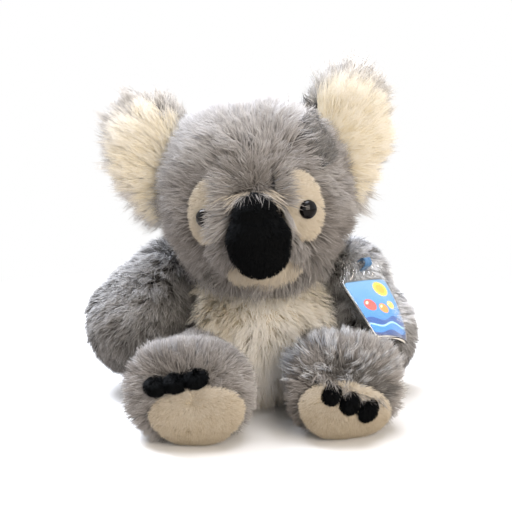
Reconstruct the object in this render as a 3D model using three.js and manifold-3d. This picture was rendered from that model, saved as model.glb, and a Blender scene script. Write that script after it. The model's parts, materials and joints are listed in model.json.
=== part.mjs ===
// A seated plush koala, built as the real toy is sewn: furry skins closed round loose filling, with
// velour, plastic and paper trim. It faces -Y and sits on Z = 0. Left is its own left, at +X.
import * as THREE from 'three'
import { mergeVertices } from 'three/addons/utils/BufferGeometryUtils.js'
import Module from 'manifold-3d'

const wasm = await Module()
wasm.setup()

// Driving sizes in millimetres and angles in degrees. Half sizes say so in their names.
const seam = 0.35 // clearance between pieces that are sewn or pressed together
const turningGap = 0.9 // clearance round a limb's ball end and under the head, which turn
const creaseGap = 5 // clearance between the body and a limb outside its ball end, for its lift
const longPile = 8 // fur and backing of the head, body, arms and legs
const shortPile = 2.6 // clipped fur of the soles, muzzle and eye patches
const restCut = 0.5 // depth of the flat where the fur meets the floor

const torso = {
  x: 2,
  height: 104,
  halfSeat: 48,
  halfBelly: 55,
  halfWaist: 50,
  halfChest: 39,
  deepSeat: 48,
  deepBelly: 50,
  deepWaist: 46,
  deepChest: 37,
  back: 6,
  lean: 5,
  endCap: 17
}
const belly = { halfWidth: 38, above: 38, below: 50, fullAbove: 2.4, fullBelow: 1.5, x: 5, z: 52 }
const head = { halfWidth: 61, halfHeight: 58, forward: 18, sink: 29, roll: -5 }
const snout = { halfWidth: 33, halfHeight: 27, out: 8, down: 18, depth: 26 }
const nose = {
  halfTop: 13.4,
  halfMiddle: 19.3,
  halfBottom: 18,
  halfDepth: 12.5,
  length: 50,
  up: 8,
  lean: 3
}
const muzzle = { halfWidth: 22, above: 14, below: 13, drop: 26.5, aside: 2 }
const eyePatch = { halfWidth: 12, above: 17, below: 19, x: 28, z: 3, lean: 14 }
const eye = { radius: 6, dome: 4.6, flange: 0.8, shaftRadius: 2, aside: 28.5, z: -2 }
const washer = { radius: 7.5, thickness: 1.4, bore: 2.4, tail: 3, press: 1.6 }
const ear = {
  rootX: 51,
  rootY: 11,
  length: 38,
  halfRoot: 26,
  halfMiddle: 31,
  halfTip: 27,
  halfThick: 10,
  endCap: 24,
  rim: 3.5
}
const rightEar = { rootZ: 13, splay: 25 }
const leftEar = { rootZ: 16, splay: 17 }
const arm = {
  shoulder: 27,
  halfElbow: 29,
  halfHand: 33,
  handCap: 31,
  aside: 21,
  shoulderDrop: 33,
  back: 16
}
const rightArm = { handAside: 22, handForward: 16, handHeight: 44 }
const leftArm = { handAside: 14, handForward: 18, handHeight: 39 }
const leg = { hip: 24.5, halfHeight: 30.5, toeCap: 20, hipAside: 37, hipForward: 37 }
const rightLeg = {
  length: 58,
  halfWidth: 39,
  toeAside: 3,
  roll: 12,
  padRoll: 5,
  padAside: 3,
  clawRise: 14.5,
  clawAside: -3
}
const leftLeg = {
  length: 47,
  halfWidth: 37,
  toeAside: 13,
  roll: 26,
  padRoll: 14,
  padAside: 2.5,
  clawRise: -2.5,
  clawAside: 3.5
}
const pad = { halfWidth: 26, above: 19, below: 17, fullAbove: 1.8, fullBelow: 2, drop: 12 }
const claw = { halfWidth: 5.4, halfHeight: 5.8, halfDepth: 6, pitch: 11.4, count: 3 }
const beanBag = { halfWidth: 24, halfDepth: 20, height: 20, back: 12 }
const mouth = { neck: 17, limb: 9 }
const tag = {
  width: 34,
  height: 42,
  card: 1.4,
  film: 0.5,
  margin: 1.6,
  header: 12,
  strip: 4,
  slotWidth: 8,
  slotHeight: 4,
  corner: 2.5,
  aside: 4,
  lean: 4,
  turn: 27,
  tilt: 36
}
const ribbon = { width: 6, thickness: 0.8, front: 3.4, reach: 26 }

// Shares: how a form's sizes sit along its spine.
const neckShare = 0.72
const plumpShare = 0.86
const thighShare = 0.79
const footFull = 2.6
const bagFloorShare = 0.55
const tagShare = 0.05
const innerShare = 0.55

// How finely the forms are cut: round a ring, along a spine, over a domed cap, round an outline.
const counts = { sides: 18, rings: 4, capRings: 4, outline: 20 }

// Its own right is at -X and its left at +X.
const right = { side: -1, name: 'right' }
const left = { side: 1, name: 'left' }
const faceSides = [right, left]
const earSides = [{ ...right, ...rightEar }, { ...left, ...leftEar }]
const armSides = [{ ...right, ...rightArm }, { ...left, ...leftArm }]
const legSides = [{ ...right, ...rightLeg }, { ...left, ...leftLeg }]

const X = new THREE.Vector3(1, 0, 0)
const Y = new THREE.Vector3(0, 1, 0)
const Z = new THREE.Vector3(0, 0, 1)
const front = new THREE.Vector3(0, -1, 0)
const degrees = THREE.MathUtils.degToRad
const at = (x, y, z) => new THREE.Vector3(x, y, z)

// A circle's wave made squarer where the fullness is over 2.
const squarer = (wave, full) => Math.sign(wave) * Math.pow(Math.abs(wave), 2 / full)

// A smooth curve through evenly spaced values, read at t from 0 to 1.
function through (values) {
  const curve = new THREE.SplineCurve(values.map((v, i) => new THREE.Vector2(i, v)))
  return t => curve.getPoint(t).y
}

// A closed solid from any geometry: vertices merged, triangles of no area dropped, faces outwards.
function solid (geometry, matrix = new THREE.Matrix4()) {
  const bare = geometry.clone().applyMatrix4(matrix)
  bare.deleteAttribute('normal')
  bare.deleteAttribute('uv')
  const merged = mergeVertices(bare)
  const corners = merged.index.array
  const kept = []
  for (let i = 0; i < corners.length; i += 3) {
    const [a, b, c] = corners.subarray(i, i + 3)
    if (a !== b && b !== c && c !== a) kept.push(a, b, c)
  }
  const vertProperties = new Float32Array(merged.attributes.position.array)
  const closed = () => new wasm.Manifold(
    new wasm.Mesh({ numProp: 3, vertProperties, triVerts: new Uint32Array(kept) }))
  if (closed().volume() > 0) return closed()
  kept.reverse()
  return closed()
}

// A named, coloured mesh from a solid.
function piece (name, body, look) {
  const { vertProperties, triVerts } = body.getMesh()
  const geometry = new THREE.BufferGeometry()
  geometry.setAttribute('position', new THREE.BufferAttribute(vertProperties, 3))
  geometry.setIndex(new THREE.BufferAttribute(triVerts, 1))
  geometry.computeVertexNormals()
  const mesh = new THREE.Mesh(geometry, new THREE.MeshStandardMaterial({ metalness: 0, ...look }))
  mesh.name = name
  return mesh
}

// A stuffed form: oval rings round a spine, half sizes from two lists spread along it, and a
// domed cap at each end. A ring's fullness is 2 for an ellipse and more for a squarer one. The form
// can be grown or shrunk by one amount all over. A hidden inner form, which is a shrunk one, has
// about half the rings and sides.
function stuffed (form, grow = 0) {
  const { spine, wide, deep, startCap, endCap, across = X, level = null, full = [2, 2] } = form
  const coarse = n => grow < -seam ? Math.ceil(n * innerShare) : n
  const sides = coarse(form.sides ?? counts.sides)
  const rings = coarse(form.rings ?? counts.rings)
  const capRings = coarse(form.capRings ?? counts.capRings)
  const wideAt = through(wide)
  const deepAt = through(deep)
  const fullAt = through(full)
  const alongAt = t => level ?? spine.getTangentAt(t)
  const stations = []
  for (let i = 1; i <= capRings; i++) {
    const turn = i / capRings * Math.PI / 2
    stations.push({ t: 0, past: -(startCap + grow) * Math.cos(turn), share: Math.sin(turn) })
  }
  for (let i = 1; i < rings; i++) stations.push({ t: i / rings, past: 0, share: 1 })
  for (let i = capRings; i >= 1; i--) {
    const turn = i / capRings * Math.PI / 2
    stations.push({ t: 1, past: (endCap + grow) * Math.cos(turn), share: Math.sin(turn) })
  }
  const pole = (t, past) => spine.getPointAt(t).addScaledVector(alongAt(t), past)
  const points = [pole(0, -startCap - grow)]
  for (const { t, past, share } of stations) {
    const along = alongAt(t)
    const a = across.clone().addScaledVector(along, -across.dot(along)).normalize()
    const b = along.clone().cross(a)
    for (let k = 0; k < sides; k++) {
      const turn = k / sides * Math.PI * 2
      points.push(pole(t, past)
        .addScaledVector(a, (wideAt(t) + grow) * share * squarer(Math.cos(turn), fullAt(t)))
        .addScaledVector(b, (deepAt(t) + grow) * share * squarer(Math.sin(turn), fullAt(t))))
    }
  }
  points.push(pole(1, endCap + grow))
  const last = points.length - 1
  const ring = (i, k) => 1 + i * sides + k % sides
  const index = []
  for (let k = 0; k < sides; k++) {
    index.push(0, ring(0, k + 1), ring(0, k))
    for (let i = 0; i + 1 < stations.length; i++) {
      index.push(ring(i, k), ring(i, k + 1), ring(i + 1, k + 1))
      index.push(ring(i, k), ring(i + 1, k + 1), ring(i + 1, k))
    }
    index.push(ring(stations.length - 1, k), ring(stations.length - 1, k + 1), last)
  }
  const geometry = new THREE.BufferGeometry().setFromPoints(points)
  geometry.setIndex(index)
  return solid(geometry)
}

// A rounded outline with its own half width and its own reach above and below the middle. A
// fullness of 2 is an ellipse, less is pointed, more is squarer.
function oval ({ halfWidth, above, below, fullAbove = 2, fullBelow = 2 }, grow = 0) {
  const shape = new THREE.Shape()
  for (let i = 0; i < counts.outline; i++) {
    const turn = i / counts.outline * Math.PI * 2
    const up = Math.sin(turn) >= 0
    const full = up ? fullAbove : fullBelow
    const reach = Math.pow(Math.pow(Math.abs(Math.cos(turn)) / (halfWidth + grow), full) +
      Math.pow(Math.abs(Math.sin(turn)) / ((up ? above : below) + grow), full), -1 / full)
    const place = [reach * Math.cos(turn), reach * Math.sin(turn)]
    if (i === 0) shape.moveTo(...place)
    else shape.lineTo(...place)
  }
  shape.closePath()
  return shape
}

// A column of an outline along local Z, from one height to another, in a given frame.
function column (shape, from, to, frame, curveSegments = 8) {
  const depth = to - from
  const geometry = new THREE.ExtrudeGeometry(shape, { depth, bevelEnabled: false, curveSegments })
  geometry.translate(0, 0, from)
  return solid(geometry, frame)
}

// A frame whose Z points outwards from a place, with its Y turned by roll from the upward line.
function facing (place, outward, roll = 0, up = Z) {
  const z = outward.clone().normalize()
  const x = up.clone().cross(z).normalize()
  const y = z.clone().cross(x)
  return new THREE.Matrix4().makeBasis(x, y, z).multiply(new THREE.Matrix4().makeRotationZ(degrees(roll)))
    .setPosition(place)
}

// A turned solid: a profile of [radius, height] pairs about local Z.
function turned (profile, frame = new THREE.Matrix4(), segments = 16) {
  const points = profile.map(([r, h]) => new THREE.Vector2(r, h))
  const geometry = new THREE.LatheGeometry(points, segments)
  geometry.rotateX(Math.PI / 2)
  return solid(geometry, frame)
}

// A plain cylinder along local Z as a turned profile.
const rod = (radius, from, to) => [[0, from], [radius, from], [radius, to], [0, to]]

// A skin and the filling in it. Everything larger cuts them, each at its own clearance, and a round
// mouth lets the filling through the skin where it is sewn on.
function sewn (form, larger, mouthRod) {
  const cut = (grow, inset) => larger.reduce(
    (left, other) => left.subtract(other(seam + inset)), form(grow))
  const outer = cut(0, 0)
  const hollow = cut(-longPile, longPile)
  const core = cut(-longPile - seam, longPile + seam)
  return {
    skin: outer.subtract(hollow).subtract(mouthRod(seam)),
    filling: core.add(mouthRod(0).intersect(outer))
  }
}

// Body: a pear on an upright spine that leans back, cut by the head and the limbs' ball ends.
const torsoSpine = new THREE.LineCurve3(at(torso.x, torso.back, torso.endCap - restCut),
  at(torso.x, torso.back + torso.lean, torso.height * neckShare))
const torsoForm = grow => stuffed({
  spine: torsoSpine,
  wide: [torso.halfSeat, torso.halfBelly, torso.halfWaist, torso.halfChest],
  deep: [torso.deepSeat, torso.deepBelly, torso.deepWaist, torso.deepChest],
  startCap: torso.endCap,
  endCap: torso.height * (1 - neckShare),
  level: Z,
  sides: 22,
  rings: 5,
  capRings: 3
}, grow)

// Head: turned about its own up axis, so it clears the chest as it turns, with a soft snout.
const headCentre = at(0, -head.forward, torso.height - head.sink + head.halfHeight)
const headFrame = new THREE.Matrix4().makeRotationY(degrees(head.roll)).setPosition(headCentre)
const fullRadius = (reach, share) => reach * Math.pow(Math.cos(share * Math.PI / 2), plumpShare)
function craniumForm (grow) {
  const steps = grow < -seam ? 8 : 12
  const profile = []
  for (let i = 0; i <= steps; i++) {
    const share = 2 * i / steps - 1
    const radius = Math.abs(share) < 1 ? fullRadius(head.halfWidth + grow, share) : 0
    profile.push([radius, (head.halfHeight + grow) * Math.sin(share * Math.PI / 2)])
  }
  return turned(profile, new THREE.Matrix4(), grow < -seam ? 14 : 24)
}
const snoutY = snout.depth - head.halfWidth - snout.out
const snoutForm = grow => stuffed({
  spine: new THREE.LineCurve3(at(0, snoutY + seam, -snout.down), at(0, snoutY - seam, -snout.down)),
  wide: [snout.halfWidth, snout.halfWidth],
  deep: [snout.halfHeight, snout.halfHeight],
  startCap: snout.depth,
  endCap: snout.depth,
  sides: 20,
  rings: 1
}, grow)
const headForm = grow => craniumForm(grow).add(snoutForm(grow))
const headInWorld = grow => headForm(grow).transform(headFrame.elements)

// Limbs: each starts in a ball round its joint, seated in the body, and swells towards its end.
const shoulderOf = side => at(torso.x + side * (torso.halfChest + arm.aside), arm.back,
  torso.height - arm.shoulderDrop)
const armSpine = ({ side, handAside, handForward, handHeight }) => new THREE.LineCurve3(
  shoulderOf(side), shoulderOf(side).add(at(side * handAside, -handForward, 0)).setZ(handHeight))
const armForm = row => grow => stuffed({
  spine: armSpine(row),
  wide: [arm.shoulder, arm.halfElbow, arm.halfHand],
  deep: [arm.shoulder, arm.halfElbow, arm.halfHand],
  startCap: arm.shoulder,
  endCap: arm.handCap
}, grow)
const hipOf = side => at(torso.x + side * leg.hipAside, -leg.hipForward, leg.hip + restCut)
const toeOf = ({ side, toeAside, length }) => hipOf(side)
  .add(at(side * toeAside, -length, 0))
  .setZ(leg.halfHeight - restCut)
const legSpine = row => new THREE.LineCurve3(hipOf(row.side), toeOf(row))
const legForm = row => grow => stuffed({
  spine: legSpine(row),
  wide: [leg.hip, row.halfWidth * thighShare, row.halfWidth],
  deep: [leg.hip, leg.halfHeight * thighShare, leg.halfHeight],
  full: [2, footFull, footFull],
  startCap: leg.hip,
  endCap: leg.toeCap
}, grow)

const shortSpine = (from, along) => new THREE.LineCurve3(from, from.clone().addScaledVector(along, seam))
const ball = (spine, radius) => grow => stuffed({
  spine: shortSpine(spine.getPointAt(0), spine.getTangentAt(0)),
  wide: [radius, radius],
  deep: [radius, radius],
  startCap: radius,
  endCap: radius,
  rings: 1
}, grow)
const shoulderBalls = armSides.map(row => ball(armSpine(row), arm.shoulder))
const hipBalls = legSides.map(row => ball(legSpine(row), leg.hip))
const disc = radius => oval({ halfWidth: radius, above: radius, below: radius })
const floor = column(disc(torso.height * 3), -torso.height, 0, new THREE.Matrix4())

const grey = { color: 0x8f8d8a, roughness: 0.95 }
const cream = { color: 0xcdbf9f, roughness: 0.95 }
const black = { color: 0x0c0f12, roughness: 0.9 }
const fibre = { color: 0xf2f1ec, roughness: 1 }
const model = new THREE.Group()
const headGroup = new THREE.Group()
headGroup.position.copy(headCentre)
headGroup.rotation.y = degrees(head.roll)
model.add(headGroup)
function show (group, name, body, look) {
  group.add(piece(name, body, look))
}

// Body skin, with the belly panel let into its front, the seat's bean bag and the filling over it.
const sockets = [headInWorld, ...shoulderBalls, ...hipBalls]
const socketed = body => sockets.reduce((left, other) => left.subtract(other(turningGap)), body)
const torsoWall = socketed(torsoForm(0)).subtract(torsoForm(-longPile)).subtract(floor)
const bellyFrame = facing(at(belly.x, 0, belly.z), front)
const bellyColumn = grow => column(oval(belly, grow), 0, torso.height, bellyFrame)
show(model, 'torso_skin', torsoWall.subtract(bellyColumn(seam)), grey)
show(model, 'belly_panel', torsoWall.intersect(bellyColumn(0)), cream)
const bagFloor = longPile + seam - restCut
const bagForm = grow => stuffed({
  spine: new THREE.LineCurve3(at(torso.x, beanBag.back, bagFloor + beanBag.height * bagFloorShare),
    at(torso.x, beanBag.back, bagFloor + beanBag.height * bagFloorShare + seam)),
  wide: [beanBag.halfWidth, beanBag.halfWidth],
  deep: [beanBag.halfDepth, beanBag.halfDepth],
  startCap: beanBag.height * bagFloorShare,
  endCap: beanBag.height * (1 - bagFloorShare),
  sides: 16,
  rings: 1,
  capRings: 3
}, grow)
const bodyCore = torsoForm(-longPile - seam)
show(model, 'seat_bean_bag', bagForm(0).intersect(bodyCore), { color: 0xb9c3a8, roughness: 0.9 })
show(model, 'body_filling', socketed(bodyCore).subtract(bagForm(seam)), fibre)

// Arms and legs. The ball end stays whole, and the rest is cut back where the body is in its way.
const limb = (form, ballForm) => grow => form(grow).subtract(
  torsoForm(creaseGap - Math.min(grow, 0)).subtract(ballForm(grow)))
const mouthAt = (place, direction, radius) => grow => turned(
  rod(radius + grow, 0, torso.height), facing(place, direction), 12)
for (const [i, row] of armSides.entries()) {
  const form = limb(armForm(row), shoulderBalls[i])
  const inward = at(-row.side, 0, 0)
  const larger = [headInWorld, ...legSides.map(other => grow => legForm(other)(grow + turningGap))]
  const { skin, filling } = sewn(form, larger, mouthAt(shoulderOf(row.side), inward, mouth.limb))
  show(model, `arm_${row.name}_skin`, skin, { color: 0x77777a, roughness: 0.95 })
  show(model, `arm_${row.name}_filling`, filling, fibre)
}
for (const [i, row] of legSides.entries()) {
  const form = limb(legForm(row), hipBalls[i])
  const { skin, filling } = sewn(form, [], mouthAt(hipOf(row.side), Y, mouth.limb))
  show(model, `leg_${row.name}_skin`, skin.subtract(floor), grey)
  show(model, `leg_${row.name}_filling`, filling, fibre)

  // Sole pad on the lower front of the foot, and three claws in a row above it.
  const toe = toeOf(row)
  const footFrame = facing(toe, front, -row.side * row.roll)
  const padFrame = facing(toe, front, -row.side * row.padRoll)
    .multiply(new THREE.Matrix4().makeTranslation(row.padAside, -pad.drop, 0))
  const padColumn = grow => column(oval(pad, grow), 0, row.length, padFrame)
  const onFoot = legForm(row)
  const sole = onFoot(seam + shortPile).intersect(padColumn(0)).subtract(onFoot(seam)).subtract(floor)
  const frontOf = (x, z) => leg.toeCap * Math.sqrt(1 - (x / row.halfWidth) ** 2 - (z / leg.halfHeight) ** 2)
  let clawsInWay = sole
  for (let k = 0; k < claw.count; k++) {
    const along = (k - (claw.count - 1) / 2) * claw.pitch + row.clawAside
    const offset = at(along, row.clawRise, 0).applyAxisAngle(Z, degrees(-row.side * row.roll))
    const tip = at(along, row.clawRise, frontOf(offset.x, offset.y)).applyMatrix4(footFrame)
    const clawForm = grow => stuffed({
      spine: shortSpine(tip, front),
      wide: [claw.halfWidth, claw.halfWidth],
      deep: [claw.halfHeight, claw.halfHeight],
      startCap: claw.halfDepth,
      endCap: claw.halfDepth,
      sides: 12,
      rings: 1,
      capRings: 3
    }, grow)
    show(model, `claw_${row.name}_${k + 1}`, clawForm(0).subtract(onFoot(seam)), black)
    clawsInWay = clawsInWay.subtract(clawForm(seam))
  }
  show(model, `sole_pad_${row.name}`, clawsInWay, cream)
}

// Head skin and filling. The eyes' shafts pass through the skin, and the filling has their pockets.
const radial = (x, z) => at(x, -Math.sqrt(head.halfWidth ** 2 - x ** 2), 0).setZ(z)
const outwardAt = (x, z) => radial(x, z).setZ(0)
const eyeFrame = side => facing(radial(side * eye.aside, eye.z), outwardAt(side * eye.aside, eye.z))
const washerTop = washer.press - longPile
const shaftEnd = washerTop - washer.thickness - washer.tail
const seat = seam + shortPile + seam
const throughSkin = grow => side => turned(
  rod(eye.shaftRadius + grow, shaftEnd - grow, head.halfWidth), eyeFrame(side), 12)
const pocket = (side, top) => turned(rod(washer.radius + seam, shaftEnd - seam, top), eyeFrame(side), 16)
const neck = grow => turned(rod(mouth.neck + grow, -head.halfWidth * 2, 0))
const headSewn = sewn(headForm, [], neck)
const drilled = (body, tools) => tools.reduce((left, tool) => left.subtract(tool), body)
const eyeHoles = faceSides.flatMap(({ side }) => [throughSkin(seam)(side), pocket(side, washerTop + seam)])
show(headGroup, 'head_skin', drilled(headSewn.skin, eyeHoles), grey)
const washerPockets = faceSides.map(({ side }) => pocket(side, 0))
show(headGroup, 'head_filling', drilled(headSewn.filling, washerPockets), fibre)

// Nose: a stuffed velour egg with a narrow top, sewn to the snout, and the muzzle patch below it.
const noseY = -head.halfWidth - snout.out - seam
const noseSpine = () => {
  const half = (nose.length - nose.halfTop - nose.halfBottom) / 2
  const lean = at(Math.sin(degrees(nose.lean)), 0, -Math.cos(degrees(nose.lean)))
  const middle = at(0, noseY, nose.up - snout.down)
  const end = way => middle.clone().addScaledVector(lean, way * half)
  return new THREE.LineCurve3(end(-1), end(1))
}
const noseForm = grow => stuffed({
  spine: noseSpine(),
  wide: [nose.halfTop, (nose.halfTop + nose.halfMiddle) / 2, nose.halfMiddle, nose.halfBottom],
  deep: [nose.halfDepth * plumpShare, nose.halfDepth, nose.halfDepth, nose.halfDepth * plumpShare],
  startCap: nose.halfTop,
  endCap: nose.halfBottom,
  sides: 20,
  rings: 5
}, grow)
show(headGroup, 'nose', noseForm(0).subtract(headForm(seam)), black)
const muzzleFrame = facing(at(muzzle.aside, 0, -snout.down - muzzle.drop + nose.up), front)
const muzzleColumn = column(oval(muzzle), 0, head.halfWidth * 2, muzzleFrame)
const padOnHead = body => headForm(seam + shortPile).intersect(body).subtract(headForm(seam))
show(headGroup, 'muzzle_patch', padOnHead(muzzleColumn).subtract(noseForm(seam)), cream)

// Eyes: a glossy dome on a shaft, each in its cream patch, locked by a washer behind the skin.
for (const { side, name } of faceSides) {
  const patchFrame = facing(radial(side * eyePatch.x, eyePatch.z), outwardAt(side * eyePatch.x, eyePatch.z),
    side * eyePatch.lean)
  const patchColumn = column(oval(eyePatch), -head.halfWidth / 2, head.halfWidth, patchFrame)
  show(headGroup, `eye_patch_${name}`,
    padOnHead(patchColumn).subtract(noseForm(seam)).subtract(throughSkin(seam)(side)), cream)
  const dome = [[0, shaftEnd], [eye.shaftRadius, shaftEnd], [eye.shaftRadius, seat], [eye.radius, seat]]
  const arcSteps = 5
  for (let i = 0; i <= arcSteps; i++) {
    const turn = i / arcSteps * Math.PI / 2
    dome.push([i < arcSteps ? eye.radius * Math.cos(turn) : 0,
      seat + eye.flange + (eye.dome - eye.flange) * Math.sin(turn)])
  }
  show(headGroup, `eye_${name}`, turned(dome, eyeFrame(side)), { color: 0x120b08, roughness: 0.12 })
  const ring = [[washer.bore, washerTop - washer.thickness], [washer.radius, washerTop - washer.thickness],
    [washer.radius, washerTop], [washer.bore, washerTop], [washer.bore, washerTop - washer.thickness]]
  show(headGroup, `eye_washer_${name}`, turned(ring, eyeFrame(side)), { color: 0xdedede, roughness: 0.5 })
}

// Ears: a padded leaf from the head's side. The lining is let into its front, inside a fur rim.
for (const { side, name, rootZ, splay } of earSides) {
  const lean = at(side * Math.sin(degrees(splay)), 0, Math.cos(degrees(splay)))
  const root = at(side * ear.rootX, ear.rootY, rootZ)
  const spine = new THREE.LineCurve3(root, root.clone().addScaledVector(lean, ear.length))
  const leaf = {
    spine,
    wide: [ear.halfRoot, ear.halfMiddle, ear.halfTip],
    deep: [ear.halfThick, ear.halfThick, ear.halfThick * plumpShare],
    startCap: ear.halfRoot,
    endCap: ear.endCap,
    across: Y.clone().cross(lean),
    sides: 18,
    rings: 2,
    capRings: 3
  }
  const earForm = stuffed(leaf).subtract(headForm(seam))
  const lining = grow => stuffed({
    ...leaf,
    wide: leaf.wide.map(w => w - ear.rim + grow),
    deep: leaf.deep.map(() => head.halfWidth),
    startCap: leaf.startCap - ear.rim + grow,
    endCap: leaf.endCap - ear.rim + grow
  }).subtract(column(disc(head.halfWidth * 3), grow, head.halfWidth * 2, facing(root, Y)))
  show(headGroup, `ear_${name}_back`, earForm.subtract(lining(seam)), grey)
  show(headGroup, `ear_${name}_lining`, earForm.intersect(lining(0)), cream)
}

// Tag on the left arm: a clear packet with its card, hung from a ribbon loop sewn to the fur. The
// packet hangs beside a spot on the arm's spine, its back where the arm reaches farthest outwards.
const tagArm = armSides[1]
const outward = at(Math.sin(degrees(tag.turn)) * Math.cos(degrees(tag.tilt)),
  -Math.cos(degrees(tag.turn)) * Math.cos(degrees(tag.tilt)), Math.sin(degrees(tag.tilt)))
const armVertices = armForm(tagArm)(seam).getMesh().vertProperties
const tagSpot = armSpine(tagArm).getPointAt(tagShare)
let reach = 0
for (let i = 0; i < armVertices.length; i += 3) {
  const vertex = new THREE.Vector3().fromArray(armVertices, i)
  reach = Math.max(reach, vertex.sub(tagSpot).dot(outward))
}
const tagFrame = facing(tagSpot.clone().addScaledVector(outward, reach), outward, tag.lean)
  .multiply(new THREE.Matrix4().makeTranslation(-tag.aside, 0, 0))
const box = (x, y, z, cx, cy, cz) => solid(new THREE.BoxGeometry(x, y, z).translate(cx, cy, cz), tagFrame)
function sheet (width, top, bottom, from, to) {
  const half = width / 2
  const shape = new THREE.Shape()
  shape.absarc(half - tag.corner, top - tag.corner, tag.corner, 0, Math.PI / 2)
  shape.absarc(tag.corner - half, top - tag.corner, tag.corner, Math.PI / 2, Math.PI)
  shape.absarc(tag.corner - half, bottom + tag.corner, tag.corner, Math.PI, Math.PI * 3 / 2)
  shape.absarc(half - tag.corner, bottom + tag.corner, tag.corner, Math.PI * 3 / 2, Math.PI * 2)
  return column(shape, from, to, tagFrame, 4)
}
const sleeveWidth = tag.width + 2 * (tag.margin + seam)
const sleeveTop = tag.strip / 2 - tag.header
const pocketBack = seam + tag.film
const pocketFront = pocketBack + tag.card + 2 * seam
const sleeveBottom = sleeveTop - tag.height - tag.margin - 2 * seam
const sleeve = sheet(sleeveWidth, sleeveTop, sleeveBottom, seam, pocketFront + tag.film)
const header = sheet(sleeveWidth, tag.strip / 2, sleeveBottom + tag.height / 2, seam, pocketBack)
const hollow = box(tag.width + 2 * seam, tag.height + 3 * seam, pocketFront - pocketBack,
  0, sleeveTop - tag.height / 2, (pocketFront + pocketBack) / 2)
const slotMiddle = -(tag.strip + tag.slotHeight) / 2
const slot = box(tag.slotWidth, tag.slotHeight, tag.header, 0, slotMiddle, pocketBack)
show(model, 'tag_packet', sleeve.subtract(hollow).add(header).subtract(slot),
  { color: 0xdfe6ea, roughness: 0.1, transparent: true, opacity: 0.4 })
show(model, 'tag_card', sheet(tag.width, sleeveTop - seam, sleeveTop - tag.height - seam / 2,
  pocketBack + seam, pocketFront - seam), { color: 0x3f86bd, roughness: 0.4 })

// The ribbon is a loop round the strip above the slot. The arm cuts its two ends.
const loopHalf = tag.strip / 2 + 2 * seam
function loop (grow) {
  const half = loopHalf + grow
  const bend = ribbon.front + grow - half
  const shape = new THREE.Shape()
  shape.moveTo(-ribbon.reach - grow, -half)
  shape.lineTo(bend, -half)
  shape.absarc(bend, 0, half, -Math.PI / 2, Math.PI / 2)
  shape.lineTo(-ribbon.reach - grow, half)
  shape.closePath()
  return shape
}
const loopFrame = tagFrame.clone().multiply(new THREE.Matrix4().makeBasis(Z, Y, X.clone().negate()))
const band = column(loop(ribbon.thickness), -ribbon.width / 2, ribbon.width / 2, loopFrame)
  .subtract(column(loop(0), -ribbon.width, ribbon.width, loopFrame))
const armInWay = limb(armForm(tagArm), shoulderBalls[1])(seam)
show(model, 'tag_ribbon', band.subtract(armInWay), { color: 0x7aa3c8, roughness: 0.5 })

// The origin is under the middle of the whole toy, at the floor.
const bounds = new THREE.Box3().setFromObject(model)
const middle = bounds.getCenter(new THREE.Vector3()).setZ(bounds.min.z)
const group = new THREE.Group()
model.position.copy(middle).negate()
group.add(model)

// The joint centres and the axes that are not plain, for whoever rigs the toy.
const told = (name, v) => console.log(name, v.toArray().map(n => Number(n.toFixed(3))).join(' '))
told('head_centre', headCentre.clone().sub(middle))
told('head_axis', new THREE.Vector3().setFromMatrixColumn(headFrame, 2))
for (const { side, name } of armSides) told(`shoulder_${name}`, shoulderOf(side).sub(middle))
for (const { side, name } of legSides) told(`hip_${name}`, hipOf(side).sub(middle))
told('tag_centre', new THREE.Vector3().setFromMatrixPosition(tagFrame).sub(middle))
told('tag_axis', new THREE.Vector3().setFromMatrixColumn(tagFrame, 0))

export default group
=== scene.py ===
# %% [markdown]
# # A seated plush koala
# The real toy is sewn from knitted backing with a long combed pile, closed round loose filling.
# The solid model already gives each sewn piece its place and size. This lesson dresses that model:
# every furry piece is a smooth stuffed surface, and its pile is thousands of thin blades that grow
# from it in tufts, because nothing else gives the soft broken outline that such a toy has. Hair
# particles would look alike, but they aren't a mesh that other tools can read. All sizes here are
# in millimetres, and they become metres where a mesh is made.

# %% Load the fixed frame
import json
import math
import bpy
import numpy as np
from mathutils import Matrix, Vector


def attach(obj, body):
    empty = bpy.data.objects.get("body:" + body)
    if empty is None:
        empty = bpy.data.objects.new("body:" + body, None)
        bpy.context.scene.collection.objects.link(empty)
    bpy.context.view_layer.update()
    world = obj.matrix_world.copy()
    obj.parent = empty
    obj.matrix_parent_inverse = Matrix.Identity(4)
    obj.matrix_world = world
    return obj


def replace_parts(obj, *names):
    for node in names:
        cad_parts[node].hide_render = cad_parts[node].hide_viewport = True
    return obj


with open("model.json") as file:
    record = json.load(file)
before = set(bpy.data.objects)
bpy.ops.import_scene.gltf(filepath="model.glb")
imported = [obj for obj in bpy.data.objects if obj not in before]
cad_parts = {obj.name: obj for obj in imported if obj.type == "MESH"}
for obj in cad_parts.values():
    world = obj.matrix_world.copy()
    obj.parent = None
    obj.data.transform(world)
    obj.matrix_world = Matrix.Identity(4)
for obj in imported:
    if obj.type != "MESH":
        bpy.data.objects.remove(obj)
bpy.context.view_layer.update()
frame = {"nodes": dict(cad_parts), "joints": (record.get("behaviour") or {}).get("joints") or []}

MM = 0.001
ACROSS, FORWARD, UP, DOWN = np.array([[1.0, 0, 0], [0, -1, 0], [0, 0, 1], [0, 0, -1]])
SIDES = {"right": -1, "left": 1}
joint_at = {j["name"]: np.array(j["pos_m"]) / MM for j in frame["joints"]}


def vec(*v):
    """Numbers as one array of floats."""
    return np.array(v, float)


def cos_sin(degrees):
    """Cosine and sine of an angle in degrees."""
    return math.cos(math.radians(degrees)), math.sin(math.radians(degrees))


# %% [markdown]
# ## Camera
# The toy was photographed from a little above, a good arm's length away. A long lens keeps the
# feet from swelling, so the camera stands 715 mm off with a 76 mm lens and looks down 12 degrees.

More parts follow.
